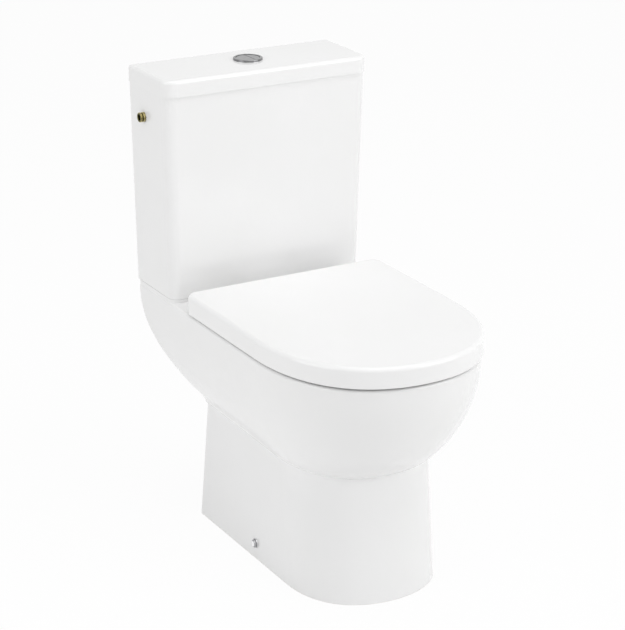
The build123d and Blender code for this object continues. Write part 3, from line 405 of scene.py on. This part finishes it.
@dataclass(frozen=True)
class PolishedChrome(Finish):
    """Bright plating with faint wiping marks."""

    bright: Colour = (0.235, 0.235, 0.24)
    dull: Colour = (0.175, 0.177, 0.181)
    smudges: Mottle = Mottle(Grain(120.0, 5.0, 0.6), 0.4, 0.7)
    polish: Span = Span(0.1, 0.14)

    def paint(self, book: NodeBook) -> Signal:
        """Metal whose polish is broken by soft smudges.

        Args:
            book: node book of the material.

        Returns:
            The finish's surface.
        """
        smudge = book.patches(self.smudges)
        return book.surface({
            "Base Color": book.mix_colours(smudge, self.bright, self.dull),
            "Metallic": 1.0,
            "Roughness": self.polish.at(smudge),
        })


@dataclass(frozen=True)
class CapChrome(Finish):
    """Bright plating on a domed cap, with painted shade in the groove round the dome and a painted
    dark reflection on its edge.
    """

    spot: tuple[float, float]
    bright: Colour = (0.86, 0.86, 0.87)
    # Colour of the painted shade and painted dark reflection in the ring round the dome.
    painted_dark_rim: Colour = (0.27, 0.27, 0.28)
    reach: float = 0.0088
    # Places of the painted dark ring, as shares of the reach from the axis.
    rings: Stops = ((0.46, 0.0), (0.64, 1.0), (0.8, 0.8), (0.95, 0.3))
    smudges: Grain = Grain(700.0, 4.0, 0.6)
    ragged: float = 0.16
    polish: Span = Span(0.1, 0.2)

    def paint(self, book: NodeBook) -> Signal:
        """Painted dark ring by the distance from the cap's axis, for the groove's shade and the dark
        reflection on the dome's edge, broken by soft noise.

        Args:
            book: node book of the material.

        Returns:
            The finish's surface.
        """
        distance = book.radial(self.spot) / self.reach
        # Painted shade in the groove and painted dark reflection on the dome's edge, as a ring from
        # the axis.
        ring = book.ramp(distance + book.uneven(self.smudges, self.ragged), self.rings)
        return book.surface({
            "Base Color": book.mix_colours(ring, self.bright, self.painted_dark_rim),
            "Metallic": 1.0,
            "Roughness": self.polish.at(ring),
        })


@dataclass(frozen=True)
class TurnedBrass(Finish):
    """Yellow brass with tool marks round its axis, and painted shade in the roots of its thread, its
    groove and its bore.
    """

    spot: tuple[float, float]
    bright: Colour = (0.50, 0.44, 0.25)
    worn: Colour = (0.33, 0.28, 0.12)
    # Colour of the painted shade in the thread's roots, the groove and the bore.
    painted_root_shade: Colour = (0.11, 0.10, 0.035)
    root: float = 0.0066
    crest: float = 0.0084
    wear: Mottle = Mottle(Grain(90.0, 4.0, 0.55), 0.38, 0.68)
    # Noise and stops that break up and fade the painted shade between root and crest.
    shade_edge_grain: Grain = Grain(400.0)
    ragged: float = 0.3
    root_shade_fade: Stops = ((0.1, 0.0), (0.8, 1.0))
    polish: Span = Span(0.34, -0.14)
    mark_scale: float = 900.0
    mark_drift: float = 0.6
    mark_relief: Relief = Relief(0.00001, 0.3)

    def paint(self, book: NodeBook) -> Signal:
        """Fine rings along X, patches of wear, and painted shade that thins out from the thread's
        root to its crest.

        Args:
            book: node book of the material.

        Returns:
            The finish's surface.
        """
        # Share left unshaded: painted shade is full at the root and below it, so in the groove and
        # the bore too.
        height = (book.radial(self.spot) - self.root) / (self.crest - self.root)
        unshaded = book.ramp(height + book.uneven(self.shade_edge_grain, self.ragged), self.root_shade_fade)
        marks = book.place(
            "ShaderNodeTexWave",
            {"wave_type": "BANDS", "bands_direction": "X"},
            {"Vector": book.coordinates(), "Scale": self.mark_scale, "Distortion": self.mark_drift},
            "Fac",
        )
        metal = book.mix_colours(book.patches(self.wear), self.bright, self.worn)
        return book.surface({
            "Base Color": book.mix_colours(unshaded, self.painted_root_shade, metal),
            "Metallic": 1.0,
            "Roughness": self.polish.at(unshaded),
            "Normal": book.bump(marks, self.mark_relief),
        })


@dataclass(frozen=True)
class PlatedSteel(Finish):
    """Zinc plated steel with a mottled grey crystal bloom."""

    light: Colour = (0.62, 0.63, 0.64)
    dark: Colour = (0.42, 0.43, 0.45)
    crystal_scale: float = 320.0
    crystal_relief: Relief = Relief(0.00002, 0.3)
    cloud: Grain = Grain(60.0)
    cloud_share: float = 0.4
    greys: Stops = ((0.3, 0.0), (0.9, 1.0))
    polish: Span = Span(0.28, 0.2)

    def paint(self, book: NodeBook) -> Signal:
        """Cells of two greys with uneven polish.

        Args:
            book: node book of the material.

        Returns:
            The finish's surface.
        """
        crystals = book.place("ShaderNodeTexVoronoi", None, {
            "Vector": book.coordinates(),
            "Scale": self.crystal_scale,
        }, "Distance")
        mottle = book.ramp(crystals + self.cloud_share * book.noise(self.cloud), self.greys)
        return book.surface({
            "Base Color": book.mix_colours(mottle, self.light, self.dark),
            "Metallic": 1.0,
            "Roughness": self.polish.at(mottle),
            "Normal": book.bump(crystals, self.crystal_relief),
        })


@dataclass(frozen=True)
class MouldedPlastic(Finish):
    """Satin moulding in one colour, with a spark-eroded grain."""

    body: Colour = (0.80, 0.80, 0.79)
    shade: Colour = (0.74, 0.74, 0.73)
    clouds: Mottle = Mottle(Grain(30.0), 0.35, 0.7)
    grain: Grain = Grain(1400.0, 2.0)
    grain_relief: Relief = Relief(0.00003, 0.4)
    polish: Span = Span(0.38, 0.16)

    def paint(self, book: NodeBook) -> Signal:
        """Colour that clouds a little over a fine grain.

        Args:
            book: node book of the material.

        Returns:
            The finish's surface.
        """
        grain = book.noise(self.grain)
        return book.surface({
            "Base Color": book.mix_colours(book.patches(self.clouds), self.body, self.shade),
            "Roughness": self.polish.at(grain),
            "Normal": book.bump(grain, self.grain_relief),
        })


@dataclass(frozen=True)
class SoftRubber(Finish):
    """Matte rubber with a dusty bloom."""

    body: Colour = (0.02, 0.02, 0.021)
    bloom: Colour = (0.06, 0.06, 0.06)
    dusting: Mottle = Mottle(Grain(70.0, 5.0, 0.6), 0.42, 0.75)
    grain: Grain = Grain(900.0, 2.0)
    grain_relief: Relief = Relief(0.00004, 0.5)
    polish: Span = Span(0.62, 0.2)

    def paint(self, book: NodeBook) -> Signal:
        """Dark or pale rubber under patches of bloom.

        Args:
            book: node book of the material.

        Returns:
            The finish's surface.
        """
        dust = book.patches(self.dusting)
        return book.surface({
            "Base Color": book.mix_colours(dust, self.body, self.bloom),
            "Roughness": self.polish.at(dust),
            "Normal": book.bump(book.noise(self.grain), self.grain_relief),
        })


def axis_spot(node: str) -> tuple[float, float]:
    """Find the axis along X through the middle of a CAD node.

    Args:
        node: name of the CAD node.

    Returns:
        Y and Z of the axis.
    """
    low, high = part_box(node)
    centre = (low + high) / 2
    return centre.y, centre.z


CERAMIC = VitreousGlaze("white glaze")
SEAT_GLOSS = GlossMoulding("white seat moulding")
CHROME = PolishedChrome("button chrome")
CAP_CHROME = CapChrome("cap chrome", axis_spot("screw_caps"))
BRASS = TurnedBrass("inlet brass", axis_spot("inlet_tail"))
STEEL = PlatedSteel("zinc plated steel")
WHITE_PLASTIC = MouldedPlastic("white plastic")
GREY_PLASTIC = MouldedPlastic("grey plastic", (0.27, 0.29, 0.32), (0.22, 0.24, 0.27))
BLUE_PLASTIC = MouldedPlastic("blue plastic", (0.08, 0.18, 0.34), (0.06, 0.14, 0.28))
BLACK_RUBBER = SoftRubber("black rubber")
WHITE_RUBBER = SoftRubber("white rubber", (0.62, 0.62, 0.61), (0.70, 0.70, 0.69))


class Shape:
    """Meshes made from numpy grids."""

    @staticmethod
    def from_grids(name: str, grids: Sequence[np.ndarray], finish: Finish) -> bpy.types.Object:
        """Make one object from closed grids of points.

        Each grid has rows along a profile and columns round it, and both directions wrap.

        Args:
            name: name of the new object.
            grids: arrays of shape (rows, columns, 3), in metres.
            finish: finish of the object.

        Returns:
            The object, at the origin, with smooth shading.
        """
        points, faces, start = [], [], 0
        for grid in grids:
            rows, columns = grid.shape[:2]
            index = np.arange(rows * columns).reshape(rows, columns) + start
            below = np.roll(index, -1, 0)
            quads = np.stack(
                [index, np.roll(index, -1, 1), np.roll(below, -1, 1), below], -1
            ).reshape(-1, 4)
            points.append(grid.reshape(-1, 3))
            faces.append(quads)
            start += rows * columns
        corners = np.concatenate(faces)
        mesh = bpy.data.meshes.new(name)
        mesh.from_pydata(np.concatenate(points).tolist(), [], corners.tolist())
        mesh.polygons.foreach_set("use_smooth", np.ones(len(corners), dtype=bool))
        mesh.update()
        made = bpy.data.objects.new(name, mesh)
        bpy.context.scene.collection.objects.link(made)
        mesh.materials.append(finish.material())
        return made

    @staticmethod
    def full_turn(columns: int) -> np.ndarray:
        """Angles of that many even columns round an axis."""
        return np.linspace(0, 2 * np.pi, columns, endpoint=False)

    @staticmethod
    def round_axis(
        foot: Vector, along: Along, places: np.ndarray, angle: np.ndarray, radii: np.ndarray
    ) -> np.ndarray:
        """Surface round an axis, from the radius at each place along it.

        The point at angle a is the foot, plus the place along the axis, plus the radius times
        cos a and sin a on the other two axes.

        Args:
            foot: point that places and radii are counted from.
            along: row axis of the surface.
            places: distances along the axis, one for each row.
            angle: angles round the axis, one for each column.
            radii: radii by row and column, or one for each row in a single column.

        Returns:
            Grid of shape (rows, columns, 3).
        """
        main, first, second = along.value
        grid = np.empty((len(places), len(angle), 3))
        grid[..., main] = (foot[main] + places)[:, None]
        grid[..., first] = foot[first] + radii * np.cos(angle)
        grid[..., second] = foot[second] + radii * np.sin(angle)
        return grid

    @staticmethod
    def keep_sharp(made: bpy.types.Object, degrees: float = 35.0) -> None:
        """Keep edges sharper than that angle crisp under smooth shading."""
        made.data.set_sharp_from_angle(angle=math.radians(degrees))


@dataclass(frozen=True)
class ScrewThread:
    """A cut thread, in metres, and the fineness of its mesh."""

    pitch: float
    depth: float
    chamfer: float = 0.0008
    columns: int = 72
    rows_per_turn: int = 10

    def radii(
        self, length: float, crest: float, cut_to: float
    ) -> tuple[np.ndarray, np.ndarray, np.ndarray]:
        """Radius of a threaded rod at each distance and angle.

        It is the crest radius, less the thread depth times a triangle wave of (distance / pitch
        - angle / full turn) on the cut stretch, less a chamfer that fades from the near end.

        Args:
            length: length of the rod.
            crest: radius of the rod.
            cut_to: distance from the near end where the thread stops.

        Returns:
            Distances, angles, and the radii as an array of distances by angles.
        """
        count = int(length / self.pitch * self.rows_per_turn)
        along = np.linspace(0, length, count)
        angle = Shape.full_turn(self.columns)
        phase = (along[:, None] / self.pitch - angle[None, :] / (2 * np.pi)) % 1.0
        tooth = self.depth * np.abs(2 * phase - 1) * (along <= cut_to)[:, None]
        entry = np.clip(along / self.chamfer, 0, 1)
        return along, angle, crest - tooth - (self.chamfer * (1 - entry))[:, None]


class SubAssembly:
    """Shared work of every sub-assembly: dressing CAD nodes and reporting pieces."""

    def dress(self, finish: Finish, *nodes: str) -> None:
        """Give CAD nodes a finish.

        Args:
            finish: the finish.
            nodes: names of the CAD nodes.
        """
        for name in nodes:
            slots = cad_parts[name].data.materials
            slots.clear()
            slots.append(finish.material())
            LOG.info("dressed %s in %s", name, finish.name)

    def seat(self, made: bpy.types.Object, body: str, slot: str, *nodes: str) -> None:
        """Let a new piece ride on a body and stand for CAD nodes.

        Args:
            made: the new piece.
            body: CAD body that it moves with.
            slot: not used.
            nodes: CAD nodes that it replaces.
        """
        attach(made, body)
        if nodes:
            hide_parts(*nodes)
        LOG.info("made %s on %s", made.name, body)


@dataclass
class Ceramics(SubAssembly):
    """Pan with its foot, basin and waterways, cistern tank and cistern lid."""

    nodes: tuple[str, ...] = (
        "pan", "pan_foot", "pan_basin", "pan_flush_way", "pan_trapway", "pan_outlet",
        "cistern_tank", "cistern_lid",
    )

    def build(self) -> None:
        """Dress the castings."""
        self.dress(CERAMIC, *self.nodes)


@dataclass
class SeatSet(SubAssembly):
    """Seat ring, cover, buffers and hinge."""

    mouldings: tuple[str, ...] = ("seat_ring", "seat_cover")
    rubbers: tuple[str, ...] = ("seat_buffers", "cover_buffers", "hinge_post_pads")
    plastics: tuple[str, ...] = ("hinge_washers", "hinge_wing_nuts")

    def build(self) -> None:
        """Dress the seat and its hinge."""
        self.dress(SEAT_GLOSS, *self.mouldings)
        self.dress(WHITE_RUBBER, *self.rubbers)
        self.dress(WHITE_PLASTIC, *self.plastics)
        self.dress(STEEL, "hinge_pins")
        self.dress(CHROME, "hinge_posts")


@dataclass
class FlushButton(SubAssembly):
    """Ring, button halves, guide and rods in the cistern lid."""

    bright: tuple[str, ...] = ("button_ring", "full_flush_button", "half_flush_button")
    plain: tuple[str, ...] = ("button_nut", "button_guide", "full_flush_rod", "half_flush_rod")

    def build(self) -> None:
        """Dress the button."""
        self.dress(CHROME, *self.bright)
        self.dress(WHITE_PLASTIC, *self.plain)


@dataclass
class FlushValve(SubAssembly):
    """Flush valve, its moving pieces and the coupling to the pan."""

    white: tuple[str, ...] = (
        "flush_valve_body", "flush_valve_nut", "overflow_tube", "coupling_wing_nuts",
    )
    blue: tuple[str, ...] = ("flush_rocker", "half_flush_latch")
    black: tuple[str, ...] = (
        "flush_valve_washer", "coupling_doughnut", "flush_seal", "coupling_seals",
    )
    steel: tuple[str, ...] = ("rocker_pin", "coupling_washers")

    def build(self) -> None:
        """Dress the valve and the coupling."""
        self.dress(WHITE_PLASTIC, *self.white)
        self.dress(GREY_PLASTIC, "flush_valve_cage")
        self.dress(BLUE_PLASTIC, *self.blue)
        self.dress(BLACK_RUBBER, *self.black)
        self.dress(STEEL, *self.steel)
        self.dress(WHITE_RUBBER, "shelf_pads")


@dataclass
class WaterInlet(SubAssembly):
    """Brass inlet tail with a cut thread, and the fill valve behind it."""

    screw: ScrewThread = ScrewThread(0.001337, 0.0008, 0.0009, 96, 12)
    proud: float = 0.0092
    shank: float = 0.0076
    bore: float = 0.005
    mouth: float = 0.0058
    groove: float = 0.0022
    groove_root: float = 0.0066

    def build(self) -> None:
        """Make the threaded tail and dress the fill valve."""
        made = Shape.from_grids("brass_inlet_tail", [self.tail()], BRASS)
        Shape.keep_sharp(made)
        self.seat(made, "base", "brass", "inlet_tail")
        self.dress(BRASS, "inlet_nut")
        self.dress(BLACK_RUBBER, "inlet_washer")
        self.dress(WHITE_PLASTIC, "fill_valve_body", "discharge_tube")
        self.dress(GREY_PLASTIC, "fill_valve_cap", "float_arm")
        self.dress(BLUE_PLASTIC, "float_cup")
        self.dress(STEEL, "float_arm_pin")

    def tail(self) -> np.ndarray:
        """Threaded tube: a collar as wide as the CAD tail with a groove, a shank and a bore.

        The outer radius is the thread's, less the step from collar to shank once it is inside
        the wall, and the groove's root in the middle of the collar. The bore runs back to the
        outer end and widens there to a mouth.

        Returns:
            Closed grid of points, along X from the outer end.
        """
        low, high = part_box("inlet_tail")
        foot = Vector((low.x, *axis_spot("inlet_tail")))
        crest = (high.z - low.z) / 2
        length = high.x - low.x
        along, angle, radius = self.screw.radii(length, crest, length)
        radius = radius - np.where(along < self.proud, 0.0, crest - self.shank)[:, None]
        grooved = np.abs(along - self.proud / 2) < self.groove / 2
        radius = np.where(grooved[:, None], self.groove_root, radius)
        inside = np.repeat([[self.bore], [self.bore], [self.mouth]], len(angle), 1)
        radii = np.concatenate([radius, inside])
        places = np.concatenate([along, [along[-1], self.mouth - self.bore, 0.0]])
        return Shape.round_axis(foot, Along.X, places, angle, radii)[:, ::-1]


@dataclass
class Fasteners(SubAssembly):
    """Threaded studs of the seat hinge and threaded hex bolts of the coupling."""

    screw: ScrewThread = ScrewThread(0.00125, 0.0007)
    stud_radius: float = 0.004
    bolt_radius: float = 0.004
    bolt_cut: float = 0.042
    head_height: float = 0.006
    head_apothem: float = 0.00779
    head_rise: float = 0.0008
    core: float = 0.00005

    def build(self) -> None:
        """Make the studs and bolts over their CAD solids."""
        studs = Shape.from_grids("steel_hinge_studs", [self.stud(side) for side in Side], STEEL)
        grids = [grid for side in Side for grid in self.bolt(side)]
        bolts = Shape.from_grids("steel_coupling_bolts", grids, STEEL)
        for piece, node in ((studs, "hinge_studs"), (bolts, "coupling_bolts")):
            Shape.keep_sharp(piece)
            self.seat(piece, "base", "steel", node)

    def spot(self, node: str, side: Side, radius: float) -> tuple[Vector, float]:
        """Foot of one of a node's two upright rods, and its length.

        Args:
            node: CAD node with two rods, mirrored on X.
            side: which of the two.
            radius: how far the node goes past a rod's axis on X.

        Returns:
            The foot point on the rod's axis, and the length along Z.
        """
        low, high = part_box(node)
        across = high.x - radius
        foot = Vector((side.value * across, (low.y + high.y) / 2, low.z))
        return foot, high.z - low.z

    def rod(self, foot: Vector, length: float, radius: float, cut: float) -> np.ndarray:
        """Rod that stands on its foot point, threaded over its lower stretch.

        The radius is the thread's, with a row of the core's tiny radius at each end to close it.

        Args:
            foot: lowest point of its axis.
            length: length of the rod.
            radius: radius of the rod.
            cut: length of the thread.

        Returns:
            Closed grid of points.
        """
        along, angle, radii = self.screw.radii(length, radius, cut)
        tip = np.full((1, len(angle)), self.core)
        radii = np.concatenate([tip, radii, tip])
        places = np.concatenate([along[:1], along, along[-1:]])
        return Shape.round_axis(foot, Along.Z, places, angle, radii)

    def stud(self, side: Side) -> np.ndarray:
        """One hinge stud, threaded over its whole length below the post."""
        foot, length = self.spot("hinge_studs", side, self.stud_radius)
        return self.rod(foot, length, self.stud_radius, length)

    def bolt(self, side: Side) -> tuple[np.ndarray, np.ndarray]:
        """One coupling bolt: a threaded shank, and a hex head with a turned crown.

        The head's radius at angle a is the apothem over the cosine of a's distance to the
        middle of the nearest flat. Its last rise narrows to a circle as wide as the flats.

        Args:
            side: which of the two bolts.

        Returns:
            Closed grids of the shank and the head.
        """
        low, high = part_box("coupling_bolts")
        reach = max((high.y - low.y) / 2, self.head_apothem)
        foot, length = self.spot("coupling_bolts", side, reach)
        under = length - self.head_height
        shank = self.rod(foot, under, self.bolt_radius, self.bolt_cut)
        angle = Shape.full_turn(self.screw.columns)
        sixth = np.pi / 3
        hexagon = self.head_apothem / np.cos((angle + sixth / 2) % sixth - sixth / 2)
        crown = np.full_like(angle, self.head_apothem)
        tip = np.full_like(angle, self.core)
        radii = np.stack([tip, hexagon, hexagon, crown, tip])
        places = np.array([under, under, length - self.head_rise, length, length])
        return shank, Shape.round_axis(foot, Along.Z, places, angle, radii)


@dataclass
class FloorFixing(SubAssembly):
    """Side screws with their domed caps, sleeves and floor brackets."""

    height: float = 0.006
    flange: float = 0.0016
    bevel: float = 0.0006
    bevel_from: float = 0.6
    neck: float = 0.0009
    neck_inset: float = 0.0022
    dome_inset: float = 0.0012
    dome_power: float = 0.6
    dome_rows: int = 12
    wall: float = 0.0012
    hollow_inset: float = 0.003
    core: float = 0.00005
    columns: int = 64

    def build(self) -> None:
        """Make the caps and dress the rest."""
        grids = [self.cap(side) for side in Side]
        made = Shape.from_grids("chrome_screw_caps", grids, CAP_CHROME)
        Shape.keep_sharp(made)
        self.seat(made, "base", "chrome", "screw_caps")
        self.dress(STEEL, "floor_brackets", "side_screws")
        self.dress(WHITE_PLASTIC, "screw_sleeves")

    def cap(self, side: Side) -> np.ndarray:
        """Domed cap with a bevelled flange, a neck and a hollow back.

        From the neck to the crown an angle s goes from 0 to a quarter turn: the place rises
        with sin s, and the dome's radius falls with cos s to a power, which keeps it blunt.

        Args:
            side: side of the foot that it sits on.

        Returns:
            Closed grid of points.
        """
        low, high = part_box("screw_caps")
        radius = (high.z - low.z) / 2
        dome_base = self.flange + self.neck
        rim = np.array([
            [0.0, radius],
            [self.flange * self.bevel_from, radius],
            [self.flange, radius - self.bevel],
            [self.flange, radius - self.neck_inset],
            [dome_base, radius - self.neck_inset],
        ])
        swing = np.linspace(0, np.pi / 2, self.dome_rows)
        fall = (radius - self.dome_inset) * np.cos(swing) ** self.dome_power
        dome = np.stack([
            dome_base + (self.height - dome_base) * np.sin(swing),
            np.maximum(fall, self.core),
        ], 1)
        hollow = np.array([
            [self.height - self.wall, self.core],
            [self.height - self.wall, radius - self.hollow_inset],
            [0.0, radius - self.hollow_inset],
        ])
        profile = np.concatenate([rim, dome, hollow])
        places = side.value * (high.x - self.height + profile[:, 0])
        angle = side.value * Shape.full_turn(self.columns)
        foot = Vector((0.0, *axis_spot("screw_caps")))
        return Shape.round_axis(foot, Along.X, places, angle, profile[:, 1:])


@dataclass(frozen=True)
class Lamp:
    """A soft square lamp: its place and width in metres, and its power in watts."""

    name: str
    place: Point
    width: float
    power: float


@dataclass
class Studio:
    """White floor and sky, soft lamps and the camera of the photograph."""

    eye: Point = (-1.6580, -2.8386, 1.6427)
    azimuth: float = -29.978
    elevation: float = 20.497
    roll: float = 0.29
    lens: float = 122.27
    sensor: float = 36.0
    floor_half: float = 6.0
    floor_white: Colour = (0.9, 0.9, 0.9)
    floor_glow: float = 0.95
    sky: float = 0.47
    lit_spot: Point = (0.0, 0.0, 0.4)
    lamps: tuple[Lamp, ...] = (
        Lamp("left lamp", (-3.0, -0.2, 1.5), 2.2, 27.7),
        Lamp("right lamp", (2.2, -2.8, 1.8), 2.4, 50.0),
        Lamp("top lamp", (0.2, -0.6, 3.4), 2.4, 33.7),
    )

    def build(self) -> None:
        """Put up the floor, the light and the camera."""
        self.lay_floor()
        self.light_sky()
        for lamp in self.lamps:
            self.hang(lamp)
        self.aim()
        bpy.context.scene.view_settings.view_transform = "Standard"

    def lay_floor(self) -> None:
        """Pale floor that shows white to the camera and keeps a soft shadow."""
        half = self.floor_half
        mesh = bpy.data.meshes.new("studio_floor")
        corners = [(-half, -half, 0.0), (half, -half, 0.0), (half, half, 0.0), (-half, half, 0.0)]
        mesh.from_pydata(corners, [], [(0, 1, 2, 3)])
        floor = bpy.data.objects.new("studio_floor", mesh)
        bpy.context.scene.collection.objects.link(floor)
        material = bpy.data.materials.new("studio floor")
        material.use_nodes = True
        book = NodeBook(material.node_tree)
        lit = book.place("ShaderNodeBsdfDiffuse", None, {"Color": (*self.floor_white, 1.0)})
        glow = book.place("ShaderNodeEmission", None, {"Color": PURE_WHITE, "Strength": 1.0})
        seen = self.seen_rays(book) * self.floor_glow
        mixed = book.place("ShaderNodeMixShader", None, {0: seen, 1: lit, 2: glow})
        book.place("ShaderNodeOutputMaterial", None, {"Surface": mixed})
        mesh.materials.append(material)

    @staticmethod
    def seen_rays(book: NodeBook) -> Signal:
        """Tell the rays that show the background: camera, glossy and transmission rays.

        Args:
            book: node book of the floor's material or the sky.

        Returns:
            1 for those rays, else 0.
        """
        camera = book.place("ShaderNodeLightPath", output="Is Camera Ray")
        glossy = book.place("ShaderNodeLightPath", output="Is Glossy Ray")
        through = book.place("ShaderNodeLightPath", output="Is Transmission Ray")
        return camera.larger(glossy.larger(through))

    def light_sky(self) -> None:
        """Even sky that lights at its own level and is white where it is seen."""
        world = bpy.data.worlds.new("studio sky")
        bpy.context.scene.world = world
        world.use_nodes = True
        book = NodeBook(world.node_tree)
        strength = Span(self.sky, 1.0 - self.sky).at(self.seen_rays(book))
        glow = book.place("ShaderNodeBackground", None, {"Color": PURE_WHITE, "Strength": strength})
        book.place("ShaderNodeOutputWorld", None, {"Surface": glow})

    def hang(self, lamp: Lamp) -> None:
        """Hang a lamp in its place, turned to the lit spot.

        Args:
            lamp: the lamp.
        """
        light = bpy.data.lights.new(lamp.name, "AREA")
        light.shape = "SQUARE"
        light.size = lamp.width
        light.energy = lamp.power
        holder = bpy.data.objects.new(lamp.name, light)
        bpy.context.scene.collection.objects.link(holder)
        holder.location = lamp.place
        toward = Vector(self.lit_spot) - Vector(lamp.place)
        holder.rotation_euler = toward.to_track_quat("-Z", "Y").to_euler()

    def aim(self) -> None:
        """Camera at the photograph's place, turned by its azimuth, elevation and roll."""
        turn, rise, roll = (math.radians(v) for v in (self.azimuth, self.elevation, self.roll))
        back = Vector((
            math.sin(turn) * math.cos(rise), -math.cos(turn) * math.cos(rise), math.sin(rise),
        ))
        right = (-back).cross(Vector((0.0, 0.0, 1.0))).normalized()
        up = right.cross(-back)
        rolled_right = math.cos(roll) * right + math.sin(roll) * up
        rolled_up = math.cos(roll) * up - math.sin(roll) * right
        camera = bpy.data.cameras.new("photo camera")
        camera.lens = self.lens
        camera.sensor_width = self.sensor
        holder = bpy.data.objects.new("photo camera", camera)
        bpy.context.scene.collection.objects.link(holder)
        pose = Matrix((rolled_right, rolled_up, back)).transposed().to_4x4()
        pose.translation = Vector(self.eye)
        holder.matrix_world = pose
        bpy.context.scene.camera = holder


def write_size() -> None:
    """Bring the view layer up to date."""
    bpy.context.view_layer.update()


def main() -> None:
    """Build every sub-assembly in order, then the studio."""
    logging.basicConfig(level=logging.INFO, format="%(name)s: %(message)s")
    groups = (
        Ceramics(), SeatSet(), FlushButton(), FlushValve(), WaterInlet(), Fasteners(), FloorFixing(),
    )
    for group in groups:
        LOG.info("building %s", type(group).__name__)
        group.build()
    Studio().build()
    write_size()


if __name__ == "__main__":
    main()
